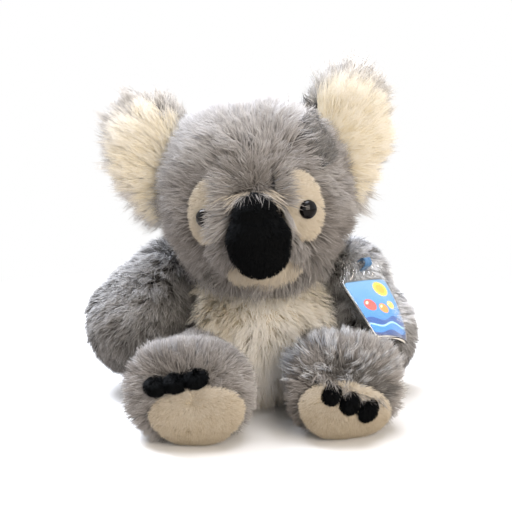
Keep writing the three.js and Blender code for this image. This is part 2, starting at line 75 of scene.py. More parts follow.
# %% Set the camera
head_centre = joint_at["head_turn"]
origin = head_centre - vec(0, -18, 133)
target = origin + vec(0, 0, 90.5)
camera_distance, camera_down = 714.8, 12.0
sensor_width, lens_in_pixels, frame_in_pixels = 36.0, 1083.0, 512.0
c, s = cos_sin(camera_down)
sight = vec(0, c, -s)
camera = bpy.data.objects.new("camera", bpy.data.cameras.new("camera"))
bpy.context.scene.collection.objects.link(camera)
camera.location = Vector((target - camera_distance * sight) * MM)
camera.rotation_euler = Vector(sight).to_track_quat("-Z", "Y").to_euler()
camera.data.sensor_width = sensor_width
camera.data.lens = sensor_width * lens_in_pixels / frame_in_pixels
camera.data.clip_start, camera.data.clip_end = 0.01, 20.0
bpy.context.scene.camera = camera
print("camera at", [round(v, 3) for v in camera.location], "lens", round(camera.data.lens, 2))

# %% [markdown]
# ## Colours and material nodes
# Colours are picked as hex values, the way a dyer's card gives them, and one function turns them
# to the linear values that the renderer adds up. One more function adds any node at all.

# %% Colour and node helpers
def dye(hex_code):
    """sRGB hex to linear: c/12.92 below 0.04045, else ((c + 0.055)/1.055) to the power 2.4."""
    c = np.array([int(hex_code[i:i + 2], 16) for i in (1, 3, 5)]) / 255.0
    linear = np.where(c <= 0.04045, c / 12.92, ((c + 0.055) / 1.055) ** 2.4)
    return (*linear.tolist(), 1.0)


def add(tree, kind, inputs, stops=(), **settings):
    """Adds one node. inputs fills its sockets, by place or name, with a number, a hex colour, a tuple,
    another node's socket, or another node, whose first output is meant. stops are the (place, hex)
    pairs of a ramp, and settings the node's own properties."""
    node = tree.nodes.new("ShaderNode" + kind)
    for key, value in settings.items():
        setattr(node, key, value)
    for key, value in inputs.items():
        if isinstance(value, (int, float, tuple, str)):
            node.inputs[key].default_value = dye(value) if isinstance(value, str) else value
        else:
            tree.links.new(value.outputs[0] if hasattr(value, "outputs") else value, node.inputs[key])
    if stops:
        elements = node.color_ramp.elements
        while len(elements) < len(stops):
            elements.new(0.5)
        for element, (place, colour) in zip(elements, stops):
            element.position, element.color = place, dye(colour)
    return node


def principled(name, **values):
    """A material with one Principled shader, whose constant values sit on its own sockets."""
    material = bpy.data.materials.new(name)
    material.use_nodes = True
    shader = material.node_tree.nodes["Principled BSDF"]
    for key, value in values.items():
        shader.inputs[key.replace("_", " ")].default_value = dye(value) if isinstance(value, str) else value
    return material, material.node_tree, shader


# %% [markdown]
# ## Pile finishes
# A dyed acrylic pile is darker and denser at the root, and its tips are frosted with a paler dye; the pale
# tips also stand for the bright rim of backlit fur, painted light.
# Each blade has its own narrow column on the UV map: across it runs the toner, from the darkest
# blades to the palest, and up it runs the blade from root to tip. So the colour of a blade depends
# only on its place on that map. The soft gloss at a glancing angle is the shader's sheen.

# %% Pile and backing materials
def pile(name, roots, middles, tips, sheen=0.35, gloss=0.3):
    """Colour = mix(mix(root, middle, v/0.45), tip, (v - 0.6)/0.4). Each of the three runs over u from
    the first to the second colour of its pair."""
    material, tree, shader = principled(name, Roughness=0.6, Sheen_Weight=sheen, Sheen_Roughness=0.4,
                                        Specular_IOR_Level=gloss)
    u, v = add(tree, "SeparateXYZ", {0: add(tree, "UVMap", {}, uv_map="OFBake")}).outputs[:2]
    root, middle, tip = (add(tree, "ValToRGB", {0: u}, list(enumerate(pair)))
                         for pair in (roots, middles, tips))
    low = add(tree, "MapRange", {0: v, 1: 0.0, 2: 0.45})
    high = add(tree, "MapRange", {0: v, 1: 0.6, 2: 1.0})
    lower = add(tree, "Mix", {0: low, 6: root, 7: middle}, data_type="RGBA").outputs[2]
    colour = add(tree, "Mix", {0: high, 6: lower, 7: tip}, data_type="RGBA").outputs[2]
    tree.links.new(colour, shader.inputs["Base Color"])
    return material


def backing(name, dark, pale, grain=1.6, gloss=0.2):
    """Knitted backing under the pile: a fine mottle with a grain of so many millimetres."""
    material, tree, shader = principled(name, Roughness=0.95, Specular_IOR_Level=gloss)
    place = add(tree, "TexCoord", {}).outputs["Object"]
    mottle = add(tree, "TexNoise", {"Vector": place, "Scale": 1.0 / (grain * MM), "Detail": 2.0})
    colour = add(tree, "ValToRGB", {0: mottle}, [(0.35, dark), (0.65, pale)])
    tree.links.new(colour.outputs[0], shader.inputs["Base Color"])
    bump = add(tree, "Bump", {"Strength": 0.6, "Distance": 0.4 * MM, "Height": mottle})
    tree.links.new(bump.outputs[0], shader.inputs["Normal"])
    return material


# Long combed acrylic: soft, matt, with pale tips, partly a paler dye and partly painted rim light.
grey_pile = pile("acrylic_pile_grey", ("#555352", "#878581"), ("#787471", "#aba8a6"), ("#8e8a87", "#dbdbdc"))
arm_pile = pile("acrylic_pile_dark_grey", ("#434242", "#676665"), ("#605f5e", "#9f9e9d"),
                ("#777572", "#f2f2f3"))
ear_pile = pile("acrylic_pile_ear_edge", ("#4a494b", "#bdbbb8"), ("#b4b2af", "#f4f3f1"),
                ("#f6f5f3", "#ffffff"))
cream_pile = pile("acrylic_pile_cream", ("#d5ccb8", "#f7f1e4"), ("#e3dac6", "#fefcf6"),
                  ("#eee8da", "#ffffff"))
ear_cream_pile = pile("acrylic_pile_ear_cream", ("#d6c49c", "#eee1c0"), ("#ebdfbf", "#fcf7e6"),
                      ("#f8f2de", "#ffffff"))
# Pale-tipped pile laid over the tops of the left arm and the left foot: a painted highlight.
highlight_pile = pile("acrylic_pile_painted_highlight", ("#3f3f42", "#6a6b70"), ("#7f838a", "#b9bec6"),
                  ("#d3dae4", "#ffffff"))
wisp_pile = pile("acrylic_hair_beige", ("#6f675f", "#8f867b"), ("#b3a999", "#cfc6b7"), ("#c9c0b1", "#efe9de"))
# Pile clipped to a few millimetres reads as one even, velvety colour.
clipped_cream = pile("clipped_pile_cream", ("#b7aa91", "#c8bea9"), ("#c5baa4", "#d3ccbf"),
                     ("#cdc2ae", "#d9d5cc"))
sole_nap = pile("microfibre_nap_cream", ("#9c8d72", "#c9bfaa"), ("#b5a78d", "#d4cdc0"),
                ("#ccc1ad", "#d8d4cb"))
# Velour traps the light between its upright fibres, so it is nearly black and has no sheen.
black_nap = pile("velour_nap_black", ("#020304", "#040507"), ("#040506", "#080a0c"), ("#06080a", "#0e1114"),
                 sheen=0.0, gloss=0.05)
# The knitted cloth between the tufts is dull, and a shade darker than the pile's middle.
grey_backing = backing("knit_backing_grey", "#555351", "#716e6b")
dark_backing = backing("knit_backing_dark_grey", "#424140", "#5b5a59")
cream_backing = backing("knit_backing_cream", "#d6c8ab", "#e6dac2")
black_velour = backing("velour_black", "#030405", "#07090b", 0.8, 0.1)
fibre = backing("polyester_fibre_white", "#e4e2dd", "#f6f5f2", 5.0)
bag_cloth = backing("woven_bag_cloth_white", "#cfccc4", "#e6e3dc", 1.2)
print("pile and backing finishes made")

# %% [markdown]
# ## Stuffed surfaces
# A sewn and stuffed limb is close to a row of oval hoops on a straight line, with a dome at each
# end. So a form here is a function of two numbers: s runs from the one pole to the other, and turn
# goes round the hoop. The same form can also say how deep a point lies inside it, which tells the
# pile where another piece already covers it.

# %% Curves and stuffed forms
def through(values, t):
    """A Catmull-Rom curve through evenly spaced values, read at t from 0 to 1."""
    p = np.asarray(values, float)
    last = len(p) - 1
    x = np.clip(t, 0, 1) * last
    i = np.minimum(x.astype(int), last - 1)
    w = x - i
    a, b, c, d = p[np.maximum(i - 1, 0)], p[i], p[i + 1], p[np.minimum(i + 2, last)]
    v0, v1 = (c - a) / 2, (d - b) / 2
    return ((2 * b - 2 * c + v0 + v1) * w - 3 * b + 3 * c - 2 * v0 - v1) * w * w + v0 * w + b


def unit(v):
    """v divided by its length, row by row."""
    return v / np.maximum(np.linalg.norm(v, axis=-1, keepdims=True), 1e-9)


def flatten(v, normal):
    """The part of v that lies in the surface: v - (v.n)n, brought to length 1."""
    return unit(v - np.sum(v * normal, -1, keepdims=True) * normal)


def oval(turn, wide, deep, full):
    """The point at turn on the outline |x/wide|^full + |y/deep|^full = 1."""
    c, s = np.cos(turn), np.sin(turn)
    return np.sign(c) * np.abs(c) ** (2 / full) * wide, np.sign(s) * np.abs(s) ** (2 / full) * deep


def outline(x, y, wide, deep, full):
    """|x/wide|^full + |y/deep|^full, which is under 1 inside the outline."""
    return (np.abs(x) / wide) ** full + (np.abs(y) / deep) ** full


def meet(form, inner, outer, grow=0.0):
    """Where the line from inner to outer leaves the form, found by halving it 24 times."""
    low, high = np.zeros(inner.shape[:-1]), np.ones(inner.shape[:-1])
    for _ in range(24):
        middle = (low + high) / 2
        inside = form.depth(inner + middle[..., None] * (outer - inner), grow) > 0
        low, high = np.where(inside, middle, low), np.where(inside, high, middle)
    return inner + low[..., None] * (outer - inner)


class Stuffed:
    """Hoops round a straight spine from p0 to p1. At t the hoop's half sizes are wide(t) and deep(t)
    and its outline is |x/wide|^f + |y/deep|^f = 1. The ends are domes: past the end by h, the hoop
    shrinks by sqrt(1 - (h/cap)^2)."""

    def __init__(self, p0, p1, wide, deep, caps, full=(2, 2), across=ACROSS, level=False):
        self.p0, self.p1 = vec(*p0), vec(*p1)
        self.wide, self.deep, self.caps, self.full = vec(*wide), vec(*deep), caps, full
        self.spine = self.p1 - self.p0
        self.up = UP if level else unit(self.spine)
        self.rise = float(self.spine @ self.up)
        self.a = flatten(across, self.up)
        self.b = np.cross(self.up, self.a)
        arcs = [math.pi / 2 * caps[0], self.rise, math.pi / 2 * caps[1]]
        self.c0, self.c1 = arcs[0] / sum(arcs), (arcs[0] + arcs[1]) / sum(arcs)

    def at(self, s, turn, grow=0.0):
        """The point at s and turn, on the form grown by so many millimetres."""
        s, turn = np.broadcast_arrays(np.clip(s, 0, 1), turn)
        t = np.clip((s - self.c0) / (self.c1 - self.c0), 0, 1)
        dome = np.where(s < self.c0, s / self.c0, np.where(s > self.c1, (1 - s) / (1 - self.c1), 1.0))
        dome = dome * math.pi / 2
        past = np.cos(dome) * np.where(s < self.c0, -(self.caps[0] + grow), self.caps[1] + grow)
        x, y = oval(turn, through(self.wide, t) + grow, through(self.deep, t) + grow, through(self.full, t))
        return (self.p0 + t[..., None] * self.spine + past[..., None] * self.up
                + (x * np.sin(dome))[..., None] * self.a + (y * np.sin(dome))[..., None] * self.b)

    def depth(self, points, grow=0.0):
        """Over 0 inside the form grown by so many millimetres, and 1 on its spine."""
        rel = points - self.p0
        t = rel @ self.up / self.rise
        held = np.clip(t, 0, 1)
        past = (t - held) * self.rise
        cap = np.where(past < 0, self.caps[0], self.caps[1]) + grow
        rest = rel - held[..., None] * self.spine
        full = through(self.full, held)
        size = outline(rest @ self.a, rest @ self.b, through(self.wide, held) + grow,
                       through(self.deep, held) + grow, full)
        return np.sqrt(np.clip(1 - (past / cap) ** 2, 0, 1)) - size ** (1 / full)


class Head:
    """A radial surface round the head's centre. The cranium is (r/W)^2.33 + (z/H)^2 = 1, with r the
    distance from the upright axis, the snout is an ellipsoid, and the larger of the two distances
    is taken, eased over 6 mm where they meet. All of it leans to one side by the roll angle."""

    half_width, half_height, plump, ease = 57.5, 59.5, 2 / 0.86, 6.0
    snout_centre, snout_half = vec(0, -43, -18), vec(33, 26.35, 27)

    def __init__(self, centre, roll):
        c, s = cos_sin(roll)
        self.centre, self.turned = centre, np.array([[c, 0, s], [0, 1, 0], [-s, 0, c]])

    def place(self, local):
        """From the head's own frame to the toy's."""
        return local @ self.turned.T + self.centre

    def local(self, points):
        """From the toy's frame to the head's own."""
        return (points - self.centre) @ self.turned

    def reach(self, way, grow=0.0):
        """The distance from the centre to the surface along unit vectors in the head's own frame. The
        cranium's takes five Newton steps, and the snout's is the far root of a quadratic."""
        across, up = np.hypot(way[..., 0], way[..., 1]), np.abs(way[..., 2])
        w, h = self.half_width + grow, self.half_height + grow
        r = 1 / np.sqrt((across / w) ** 2 + (up / h) ** 2)
        for _ in range(5):
            f = (r * across / w) ** self.plump + (r * up / h) ** 2 - 1
            slope = self.plump * (r * across / w) ** self.plump / r + 2 * r * (up / h) ** 2
            r = r - f / slope
        q = self.snout_half + np.asarray(grow)[..., None]
        a = np.sum((way / q) ** 2, -1)
        b = np.sum(way * self.snout_centre / q ** 2, -1)
        c = np.sum((self.snout_centre / q) ** 2) - 1
        snout = np.where(b * b > a * c, (b + np.sqrt(np.maximum(b * b - a * c, 0))) / a, 0.0)
        h = np.clip(0.5 + 0.5 * (snout - r) / self.ease, 0, 1)
        return r * (1 - h) + snout * h + self.ease * h * (1 - h)

    def at(self, s, turn, grow=0.0):
        """The point at s and turn, with soft lumps of the filling of about 1 mm."""
        s, turn = np.broadcast_arrays(np.clip(s, 0, 1), turn)
        lift = (s - 0.5) * math.pi
        way = np.stack([np.cos(lift) * np.cos(turn), np.cos(lift) * np.sin(turn), np.sin(lift)], -1)
        x, y, z = way[..., 0], way[..., 1], way[..., 2]
        lumps = 1.1 * np.sin(5 * x + 1) * np.sin(6 * z) + 0.9 * np.sin(9 * x + 4 * y)
        return self.place(way * (self.reach(way, grow) + lumps)[..., None])

    def depth(self, points, grow=0.0):
        """Over 0 inside the head grown by so many millimetres, and 1 at its centre."""
        q = self.local(points)
        r = np.linalg.norm(q, axis=-1)
        return 1 - r / self.reach(q / np.maximum(r, 1e-6)[..., None], grow)


class Patch:
    """A piece let into a form's skin. Its outline is |x/w|^f + |y/h|^f = 1 in a plane with axes
    across and up, pushed along out onto the form. h and f have one value above the middle and one
    below. s runs from the back's middle over the rim to the front's middle, and the front bulges by
    thick times sqrt(1 - r^2)."""

    def __init__(self, form, middle, across, up, out, half_width, heights, full, thick, far):
        self.form, self.middle, self.a, self.b, self.out = form, middle, unit(across), unit(up), unit(out)
        self.half_width, self.heights, self.full, self.thick, self.far = half_width, heights, full, thick, far

    def at(self, s, turn, grow=0.0):
        """The point at s and turn, on the form grown by so many millimetres."""
        s, turn = np.broadcast_arrays(np.clip(s, 0, 1), turn)
        r = np.minimum(2 * s, 2 * (1 - s))
        above = np.sin(turn) > 0
        x, y = oval(turn, self.half_width, np.where(above, *self.heights), np.where(above, *self.full))
        bulge = np.sign(s - 0.5) * self.thick * np.sqrt(np.clip(1 - r * r, 0, 1))
        q = self.middle + (x * r)[..., None] * self.a + (y * r)[..., None] * self.b
        return meet(self.form, q, q + self.far * self.out, grow + bulge)

    def holds(self, p, margin=0.0):
        """True for points inside the outline and on the out side."""
        rel = p - self.middle
        x, y = rel @ self.a, rel @ self.b
        h = np.where(y > 0, *self.heights) + margin
        return (outline(x, y, self.half_width + margin, h, np.where(y > 0, *self.full)) < 1) & (
            rel @ self.out > 0)


# %% [markdown]
# The sizes below are the sewn pieces' own, in millimetres, as the solid model has them. Joint
# places from the frame fix where each piece sits.

# %% The toy's forms
torso = Stuffed(origin + [2, 6, 16.5], origin + [2, 11, 74.88], [48, 55, 50, 39], [48, 50, 46, 37],
                (17, 29.12), level=True)
head = Head(head_centre, -5.0)
shoulder = {k: joint_at[f"arm_{k}_lift"] for k in SIDES}
hip = {k: joint_at[f"leg_{k}_lift"] for k in SIDES}
hand = {k: vec(shoulder[k][0] + x, shoulder[k][1] + y, z)
        for k, (x, y, z) in {"right": (-22, -16, 44), "left": (14, -18, 39)}.items()}
toe = {k: vec(hip[k][0] + x, hip[k][1] + y, 30)
       for k, (x, y) in {"right": (-3, -58), "left": (13, -47)}.items()}
arm_half = {"right": [27.5, 31.5, 33], "left": [26, 26, 29.5]}
foot_half, foot_high, ankle = {"right": 39.0, "left": 37.0}, 30.5, 0.79
shoulder_ball, hip_ball = 27, 24.5
arms = {k: Stuffed(shoulder[k], hand[k], arm_half[k], arm_half[k], (shoulder_ball, 31)) for k in SIDES}
legs = {k: Stuffed(hip[k], toe[k], [hip_ball, foot_half[k] * ankle, foot_half[k]],
                   [hip_ball, foot_high * ankle, foot_high], (hip_ball, 20), full=(2, 2.6, 2.6))
        for k in SIDES}
print("forms: torso, head, arms, legs")

# %% [markdown]
# ## From a function to a mesh
# A closed surface is laid out as hoops of points with one point at each pole, and all its faces are
# made as whole arrays. Blades are laid out the same way: seven points and three faces each, which
# is enough for a bend and a point.

# %% Mesh builders
def link(name, body, material, vertices, loops, totals, uv=None, normals=None):
    """Puts whole arrays of points and faces into a mesh object, in metres, and rides it on a body.
    totals is the number of corners of each face, and a face starts where the one before it ends."""
    mesh = bpy.data.meshes.new(name)
    mesh.vertices.add(len(vertices))
    mesh.vertices.foreach_set("co", (np.asarray(vertices, np.float32) * MM).ravel())
    mesh.loops.add(len(loops))
    mesh.loops.foreach_set("vertex_index", np.asarray(loops, np.int32))
    mesh.polygons.add(len(totals))
    starts = np.concatenate([[0], np.cumsum(totals)[:-1]])
    mesh.polygons.foreach_set("loop_start", np.asarray(starts, np.int32))
    mesh.polygons.foreach_set("loop_total", np.asarray(totals, np.int32))
    mesh.polygons.foreach_set("use_smooth", np.ones(len(totals), bool))
    if uv is not None:
        layer = mesh.uv_layers.new(name="OFBake")
        layer.data.foreach_set("uv", np.asarray(uv, np.float32)[loops].ravel())
    mesh.update(calc_edges=True)
    mesh.validate(verbose=False)
    if normals is not None:
        facing = mesh.attributes.new("custom_normal", "FLOAT_VECTOR", "POINT")
        facing.data.foreach_set("vector", np.asarray(normals, np.float32).ravel())
    mesh.materials.append(material)
    piece = bpy.data.objects.new(name, mesh)
    bpy.context.scene.collection.objects.link(piece)
    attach(piece, body)
    return piece


def closed_surface(name, body, material, surface, hoops, sides):
    """Hoops at evenly spaced s, each of so many points, closed by one point at each pole. The faces
    are turned round where they would point inwards."""
    s = np.linspace(0, 1, hoops + 2)[1:-1, None]
    turn = np.linspace(0, 2 * math.pi, sides, endpoint=False)[None, :]
    poles = [surface(np.full((1, 1), end), np.zeros((1, 1)))[0] for end in (0.0, 1.0)]
    vertices = np.concatenate([surface(s, turn).reshape(-1, 3), *poles])
    i, k = np.meshgrid(np.arange(hoops - 1), np.arange(sides), indexing="ij")
    n = (k + 1) % sides
    quads = np.stack([i * sides + k, i * sides + n, (i + 1) * sides + n, (i + 1) * sides + k], -1)
    quads = quads.reshape(-1, 4)
    k, n, top = k[0], n[0], (hoops - 1) * sides
    ends = [np.stack([n, k, np.full(sides, hoops * sides)], -1),
            np.stack([top + k, top + n, np.full(sides, hoops * sides + 1)], -1)]
    corner = vertices[quads]
    facing = np.cross(corner[:, 2] - corner[:, 0], corner[:, 3] - corner[:, 1])
    way = -1 if np.sum(facing * (corner.mean(1) - vertices.mean(0))) < 0 else 1
    loops = np.concatenate([faces[:, ::way].ravel() for faces in (quads, *ends)])
    totals = np.concatenate([np.full(len(quads), 4), np.full(2 * sides, 3)])
    return link(name, body, material, vertices, loops, totals)


def sewn(name, body, material, form, grow, hoops, sides, node):
    """A closed piece that stands for a solid: a form, grown by a number or by a function of s and
    turn. The solid's node is hidden."""
    surface = lambda s, turn: form.at(s, turn, grow(s, turn) if callable(grow) else grow)
    piece = closed_surface(name, body, material, surface, hoops, sides)
    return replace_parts(piece, node)


def filling(name, body, form, inset, node):
    """Loose fibre that fills a skin: the same form, set in, with soft lumps of 2 mm."""
    lumps = lambda s, turn: -inset + 2 * np.sin(5 * turn + 9 * s) * np.sin(math.pi * s)
    return sewn(name, body, fibre, form, lumps, 30, 40, node)


blade_taper, blade_rows = vec(1.0, 0.92, 0.66), [0.02, 0.02, 0.34, 0.34, 0.67, 0.67, 0.98]
blade_corners, ground_gap, column = [0, 1, 3, 2, 2, 3, 5, 4, 4, 5, 6], 0.3, 1 / 256


def blades(name, body, material, path, side, width, tone, facing):
    """path is (n, 4, 3), side (n, 3) the blade's width direction, width (n,), tone (n,) from 0 to 1.
    A blade narrows along its path as 1, 0.92, 0.66 and ends in one point, and none goes below the
    ground."""
    n = len(path)
    half = side[:, None, :] * (width[:, None] * blade_taper / 2)[..., None]
    pairs = np.stack([path[:, :3] - half, path[:, :3] + half], 2).reshape(n, 6, 3)
    vertices = np.concatenate([pairs, path[:, 3:]], 1).reshape(-1, 3)
    vertices[:, 2] = np.maximum(vertices[:, 2], ground_gap)
    loops = (np.arange(n)[:, None] * 7 + blade_corners).ravel()
    u = 0.01 + np.clip(tone, 0, 1) * 0.97
    across = np.stack([u, u + column, u, u + column, u, u + column, u + column / 2], -1)
    uv = np.stack([across, np.tile(blade_rows, (n, 1))], -1).reshape(-1, 2)
    return link(name, body, material, vertices, loops, np.tile([4, 4, 3], n), uv,
                np.repeat(facing, 7, axis=0))


# %% [markdown]
# ## Growing the pile
# Long plush pile stands in tufts. Tufts are spread evenly over the surface by area. Each tuft has
# one combed direction, and its blades start round it and bend towards its tip, so that the tufts
# part and their dark roots show between them. The direction comes from a field, such as away from
# the nose, and is laid into the surface.

# %% The pile grower
share_grown = 1.0


def surface_frame(form, s, turn, grow):
    """Point, outward normal, the two lengths per unit of s and turn, and the area, by differences."""
    step = 1e-3
    ds = (form.at(np.minimum(s + step, 1), turn, grow) - form.at(np.maximum(s - step, 0), turn, grow))
    dt = form.at(s, turn + step, grow) - form.at(s, turn - step, grow)
    ds, dt = ds / (2 * step), dt / (2 * step)
    area = np.cross(dt, ds)
    return form.at(s, turn, grow), unit(area), *(np.linalg.norm(v, axis=-1) for v in (ds, dt, area))


def bend(root, normal, comb, length, lean, droop):
    """Four points along a blade: its direction turns from lean[0] to lean[1] off the normal, and it
    sinks by droop times the square of the way along."""
    angle = lean[0][:, None] + (lean[1] - lean[0])[:, None] * vec(1 / 6, 1 / 2, 5 / 6)
    way = np.cos(angle)[..., None] * normal[:, None] + np.sin(angle)[..., None] * comb[:, None]
    path = np.cumsum(way * (length / 3)[:, None, None], 1)
    path = np.concatenate([root[:, None], root[:, None] + path], 1)
    path[:, :, 2] -= (droop * length)[:, None] * vec(0, 1 / 9, 4 / 9, 1)
    return path


def given(what, p, n):
    """what(p, n) where it is a function of points and normals, else what itself."""
    return what(p, n) if callable(what) else what


def grow_pile(name, body, material, slot, form, field, keep, tone, seed, tufts, per_tuft, spread, length,
              lean=(20, 65), droop=0.05, clump=0.7, swirl=14, base=-5.0, width=0.6, s_range=(0, 1), locks=8,
              lock_pull=0.5, glint_share=0.1):
    """Spreads tufts by area over the form grown by base, gives each its combed direction, and grows
    its blades. lean is in degrees off the normal at the root and at the tip, clump how far a blade's
    tip is drawn to its tuft's tip, swirl how many degrees the comb wanders from tuft to tuft. One in
    so many locks tufts gathers its neighbours, whose tips go lock_pull of the way to its own. A share
    of the blades, set by the last argument, is 0.4 paler in tone: painted glints."""
    rng = np.random.default_rng(seed)
    tufts = int(tufts * share_grown)
    tries = tufts * 6
    s, turn = rng.uniform(*s_range, tries), rng.uniform(0, 2 * math.pi, tries)
    area = surface_frame(form, s, turn, base)[4]
    chosen = np.argsort(rng.exponential(size=tries) / np.maximum(area, 1e-9))[:tufts]
    s, turn = s[chosen], turn[chosen]
    p, normal, per_s, per_t, _ = surface_frame(form, s, turn, base)
    kept = keep(p, normal)
    s, turn, p, normal, per_s, per_t = (x[kept] for x in (s, turn, p, normal, per_s, per_t))
    wander = np.radians(swirl) * rng.standard_normal(len(s))
    slow = np.sin(p[:, 0] / 9 + seed) + np.sin(p[:, 2] / 7 + 2 * seed + p[:, 1] / 11)
    slow = np.radians(swirl) * slow * 0.6
    comb = flatten(given(field, p, normal), normal)
    aside = np.cross(normal, comb)
    comb = comb * np.cos(wander + slow)[:, None] + aside * np.sin(wander + slow)[:, None]
    reach = given(length, p, normal) * rng.uniform(0.85, 1.15, len(s))
    leans = [np.radians(lean[i]) + np.radians(7) * rng.standard_normal(len(s)) for i in (0, 1)]
    lead = bend(p, normal, comb, reach, leans, droop)
    # Every so many tufts one leads a lock: the others near it lean towards its tip.
    heads = rng.permutation(len(s))[:max(len(s) // locks, 1)]
    near = np.concatenate([heads[np.argmin(((part[:, None] - p[heads]) ** 2).sum(-1), axis=1)]
                           for part in np.array_split(p, max(len(p) // 500, 1))])
    pull = (lock_pull * vec(0, 0.15, 0.5, 1))[None, :, None]
    lead = lead + (lead[near] + 0.35 * (p - p[near])[:, None] - lead) * pull
    patchy = (np.sin(p[:, 0] / 6.1 + 3 * seed) * np.sin(p[:, 2] / 5.3 + seed)
              + np.sin(p[:, 1] / 7.7 + p[:, 2] / 9.1))
    tuft_tone = given(tone, p, normal) + 0.07 * patchy + 0.1 * rng.standard_normal(len(s))
    # Each tuft's blades.
    i = np.repeat(np.arange(len(s)), per_tuft)
    off = rng.standard_normal((2, len(i))) * spread
    hs = s[i] + off[0] / np.maximum(per_s[i], 1)
    ht = turn[i] + off[1] / np.maximum(per_t[i], 3)
    inside = (hs > 0.002) & (hs < 0.998)
    i, hs, ht = i[inside], hs[inside], ht[inside]
    root, n, *_ = surface_frame(form, hs, ht, base)
    kept = keep(root, n)
    i, root, n = i[kept], root[kept], n[kept]
    blade_comb = flatten(comb[i] + 0.18 * rng.standard_normal((len(i), 3)), n)
    size = reach[i] * rng.uniform(0.78, 1.08, len(i))
    blade_leans = [v[i] + np.radians(6) * rng.standard_normal(len(i)) for v in leans]
    path = bend(root, n, blade_comb, size, blade_leans, droop)
    draw = clump * vec(0, 0.25, 0.68, 1) * rng.uniform(0.6, 1.1, len(i))[:, None]
    path = path + (lead[i] - path) * np.clip(draw, 0, 0.95)[..., None]
    path = path + rng.standard_normal(path.shape) * (vec(0, 0.01, 0.025, 0.045) * size[:, None])[..., None]
    along = unit(path[:, 2] - path[:, 0])
    flat = unit(np.cross(along, n))
    twist = rng.uniform(-0.6, 0.6, len(i))[:, None]
    side = flat * np.cos(twist) + np.cross(along, flat) * np.sin(twist)
    out = unit(np.cross(side, along))
    out = out * np.sign(np.sum(out * n, -1, keepdims=True) + 1e-6)
    # A share of the blades is made paler at random: painted glints.
    blade_tone = tuft_tone[i] + 0.09 * rng.standard_normal(len(i)) + 0.4 * (rng.random(len(i)) < glint_share)
    piece = blades(name, body, material, path, side, width * rng.uniform(0.75, 1.25, len(i)), blade_tone,
                   unit(out + 1.2 * n))
    print(name, len(i), "blades in", len(s), "tufts")
    return piece


def loose_strands(name, body, material, root, normal, comb, length, lean, tone, seed, width=0.5, droop=0.08):
    """Single long hairs over the pile. Each bends from lean[0] to lean[1] degrees off the normal."""
    rng = np.random.default_rng(seed)
    n = len(root)
    reach = length * rng.uniform(0.65, 1.25, n)
    way = flatten(comb + 0.22 * rng.standard_normal((n, 3)), normal)
    leans = [np.radians(lean[i]) + 0.16 * rng.standard_normal(n) for i in (0, 1)]
    path = bend(root, normal, way, reach, leans, droop)
    along = unit(path[:, 2] - path[:, 0])
    side = flatten(unit(np.cross(along, normal) + 0.4 * rng.standard_normal((n, 3))), along)
    out = np.cross(side, along)
    facing = unit(unit(out) * np.sign(np.sum(out * normal, -1, keepdims=True)) + normal)
    piece = blades(name, body, material, path, side, width * rng.uniform(0.8, 1.2, n),
                   tone + 0.18 * rng.standard_normal(n), facing)
    print(name, n, "hairs")
    return piece


def outside(p, *others):
    """True where p lies outside every (form, grow) given."""
    return np.all([form.depth(p, grow) < 0 for form, grow in others], axis=0)


def rows(*columns):
    """One row of x, y and z for each hair. A column is an array or one number."""
    return np.stack(np.broadcast_arrays(*columns), -1)


# %% [markdown]
# ## Body
# The body is a pear that leans back. Its pile is combed down. The belly panel is a cream cut of the
# same plush, let into the front, wide at the chest and drawn to a point between the legs. A bag of
# beans inside makes such a toy sit.

# %% Body skin, belly and filling
belly_place = origin + [5.0, 0.0, 52.0]
belly = Patch(torso, vec(belly_place[0], torso.p0[1], belly_place[2]), ACROSS, UP, FORWARD, 38, (38, 46),
              (2.4, 1.5), 2.0, 80.0)
bag = Stuffed(origin + [2, 6, 20], origin + [2, 7, 34], [30, 33], [30, 33], (10, 12), level=True)
sewn("body_plush", "torso", grey_backing, torso, -7.0, 40, 56, "torso_skin")
filling("body_fibre", "torso", torso, 11.0, "body_filling")
sewn("seat_bag", "torso", bag_cloth, bag, lambda s, t: 0.8 * np.sin(9 * t) * np.sin(11 * s), 24, 48,
     "seat_bean_bag")
sewn("belly_plush", "torso", cream_backing, belly, -5.5, 40, 56, "belly_panel")


def in_belly(p):
    """True inside the belly panel's outline, |x/39|^f + |z/h|^f < 1, and on the front."""
    x, z = p[:, 0] - belly_place[0], p[:, 2] - belly_place[2]
    f, h = np.where(z > 0, 2.4, 1.5), np.where(z > 0, 38.0, 50.0)
    return (outline(x, z, 39, h, f) < 1) & (p[:, 1] < torso.p0[1])


def on_body(p):
    """Outside the head, the limbs and their ball ends, and off the ground."""
    free = outside(p, (head, -12.0), *((limb[k], -8.0) for limb in (arms, legs) for k in SIDES))
    for joint, radius in ((shoulder, shoulder_ball), (hip, hip_ball)):
        for k in SIDES:
            free &= np.linalg.norm(p - joint[k], axis=-1) > radius + 1.0
    return free & (p[:, 2] > 3.0)


def belly_comb(p, n):
    """Down, and a little in to the point between the legs."""
    return (p - belly_place) * [-0.006, 0.0, 0.0] + DOWN


def belly_tone(p, n):
    """Brightest a little under the middle, painted light, and darker to the toy's right by the arm,
    painted shade.
    """
    x, z = p[:, 0] - belly_place[0], p[:, 2] - belly_place[2]
    middle = np.exp(-((x - 3) / 24) ** 2 - ((z + 9) / 26) ** 2)
    return 0.3 + 0.95 * middle - 0.45 * np.clip((-x - 10) / 14, 0, 1)


def belly_length(p, n):
    """Longer low down, where the pile bulges out between the feet."""
    x, z = p[:, 0] - belly_place[0], p[:, 2] - belly_place[2]
    return 17 + 9 * np.exp(-(x / 14) ** 2 - ((z + 26) / 16) ** 2)
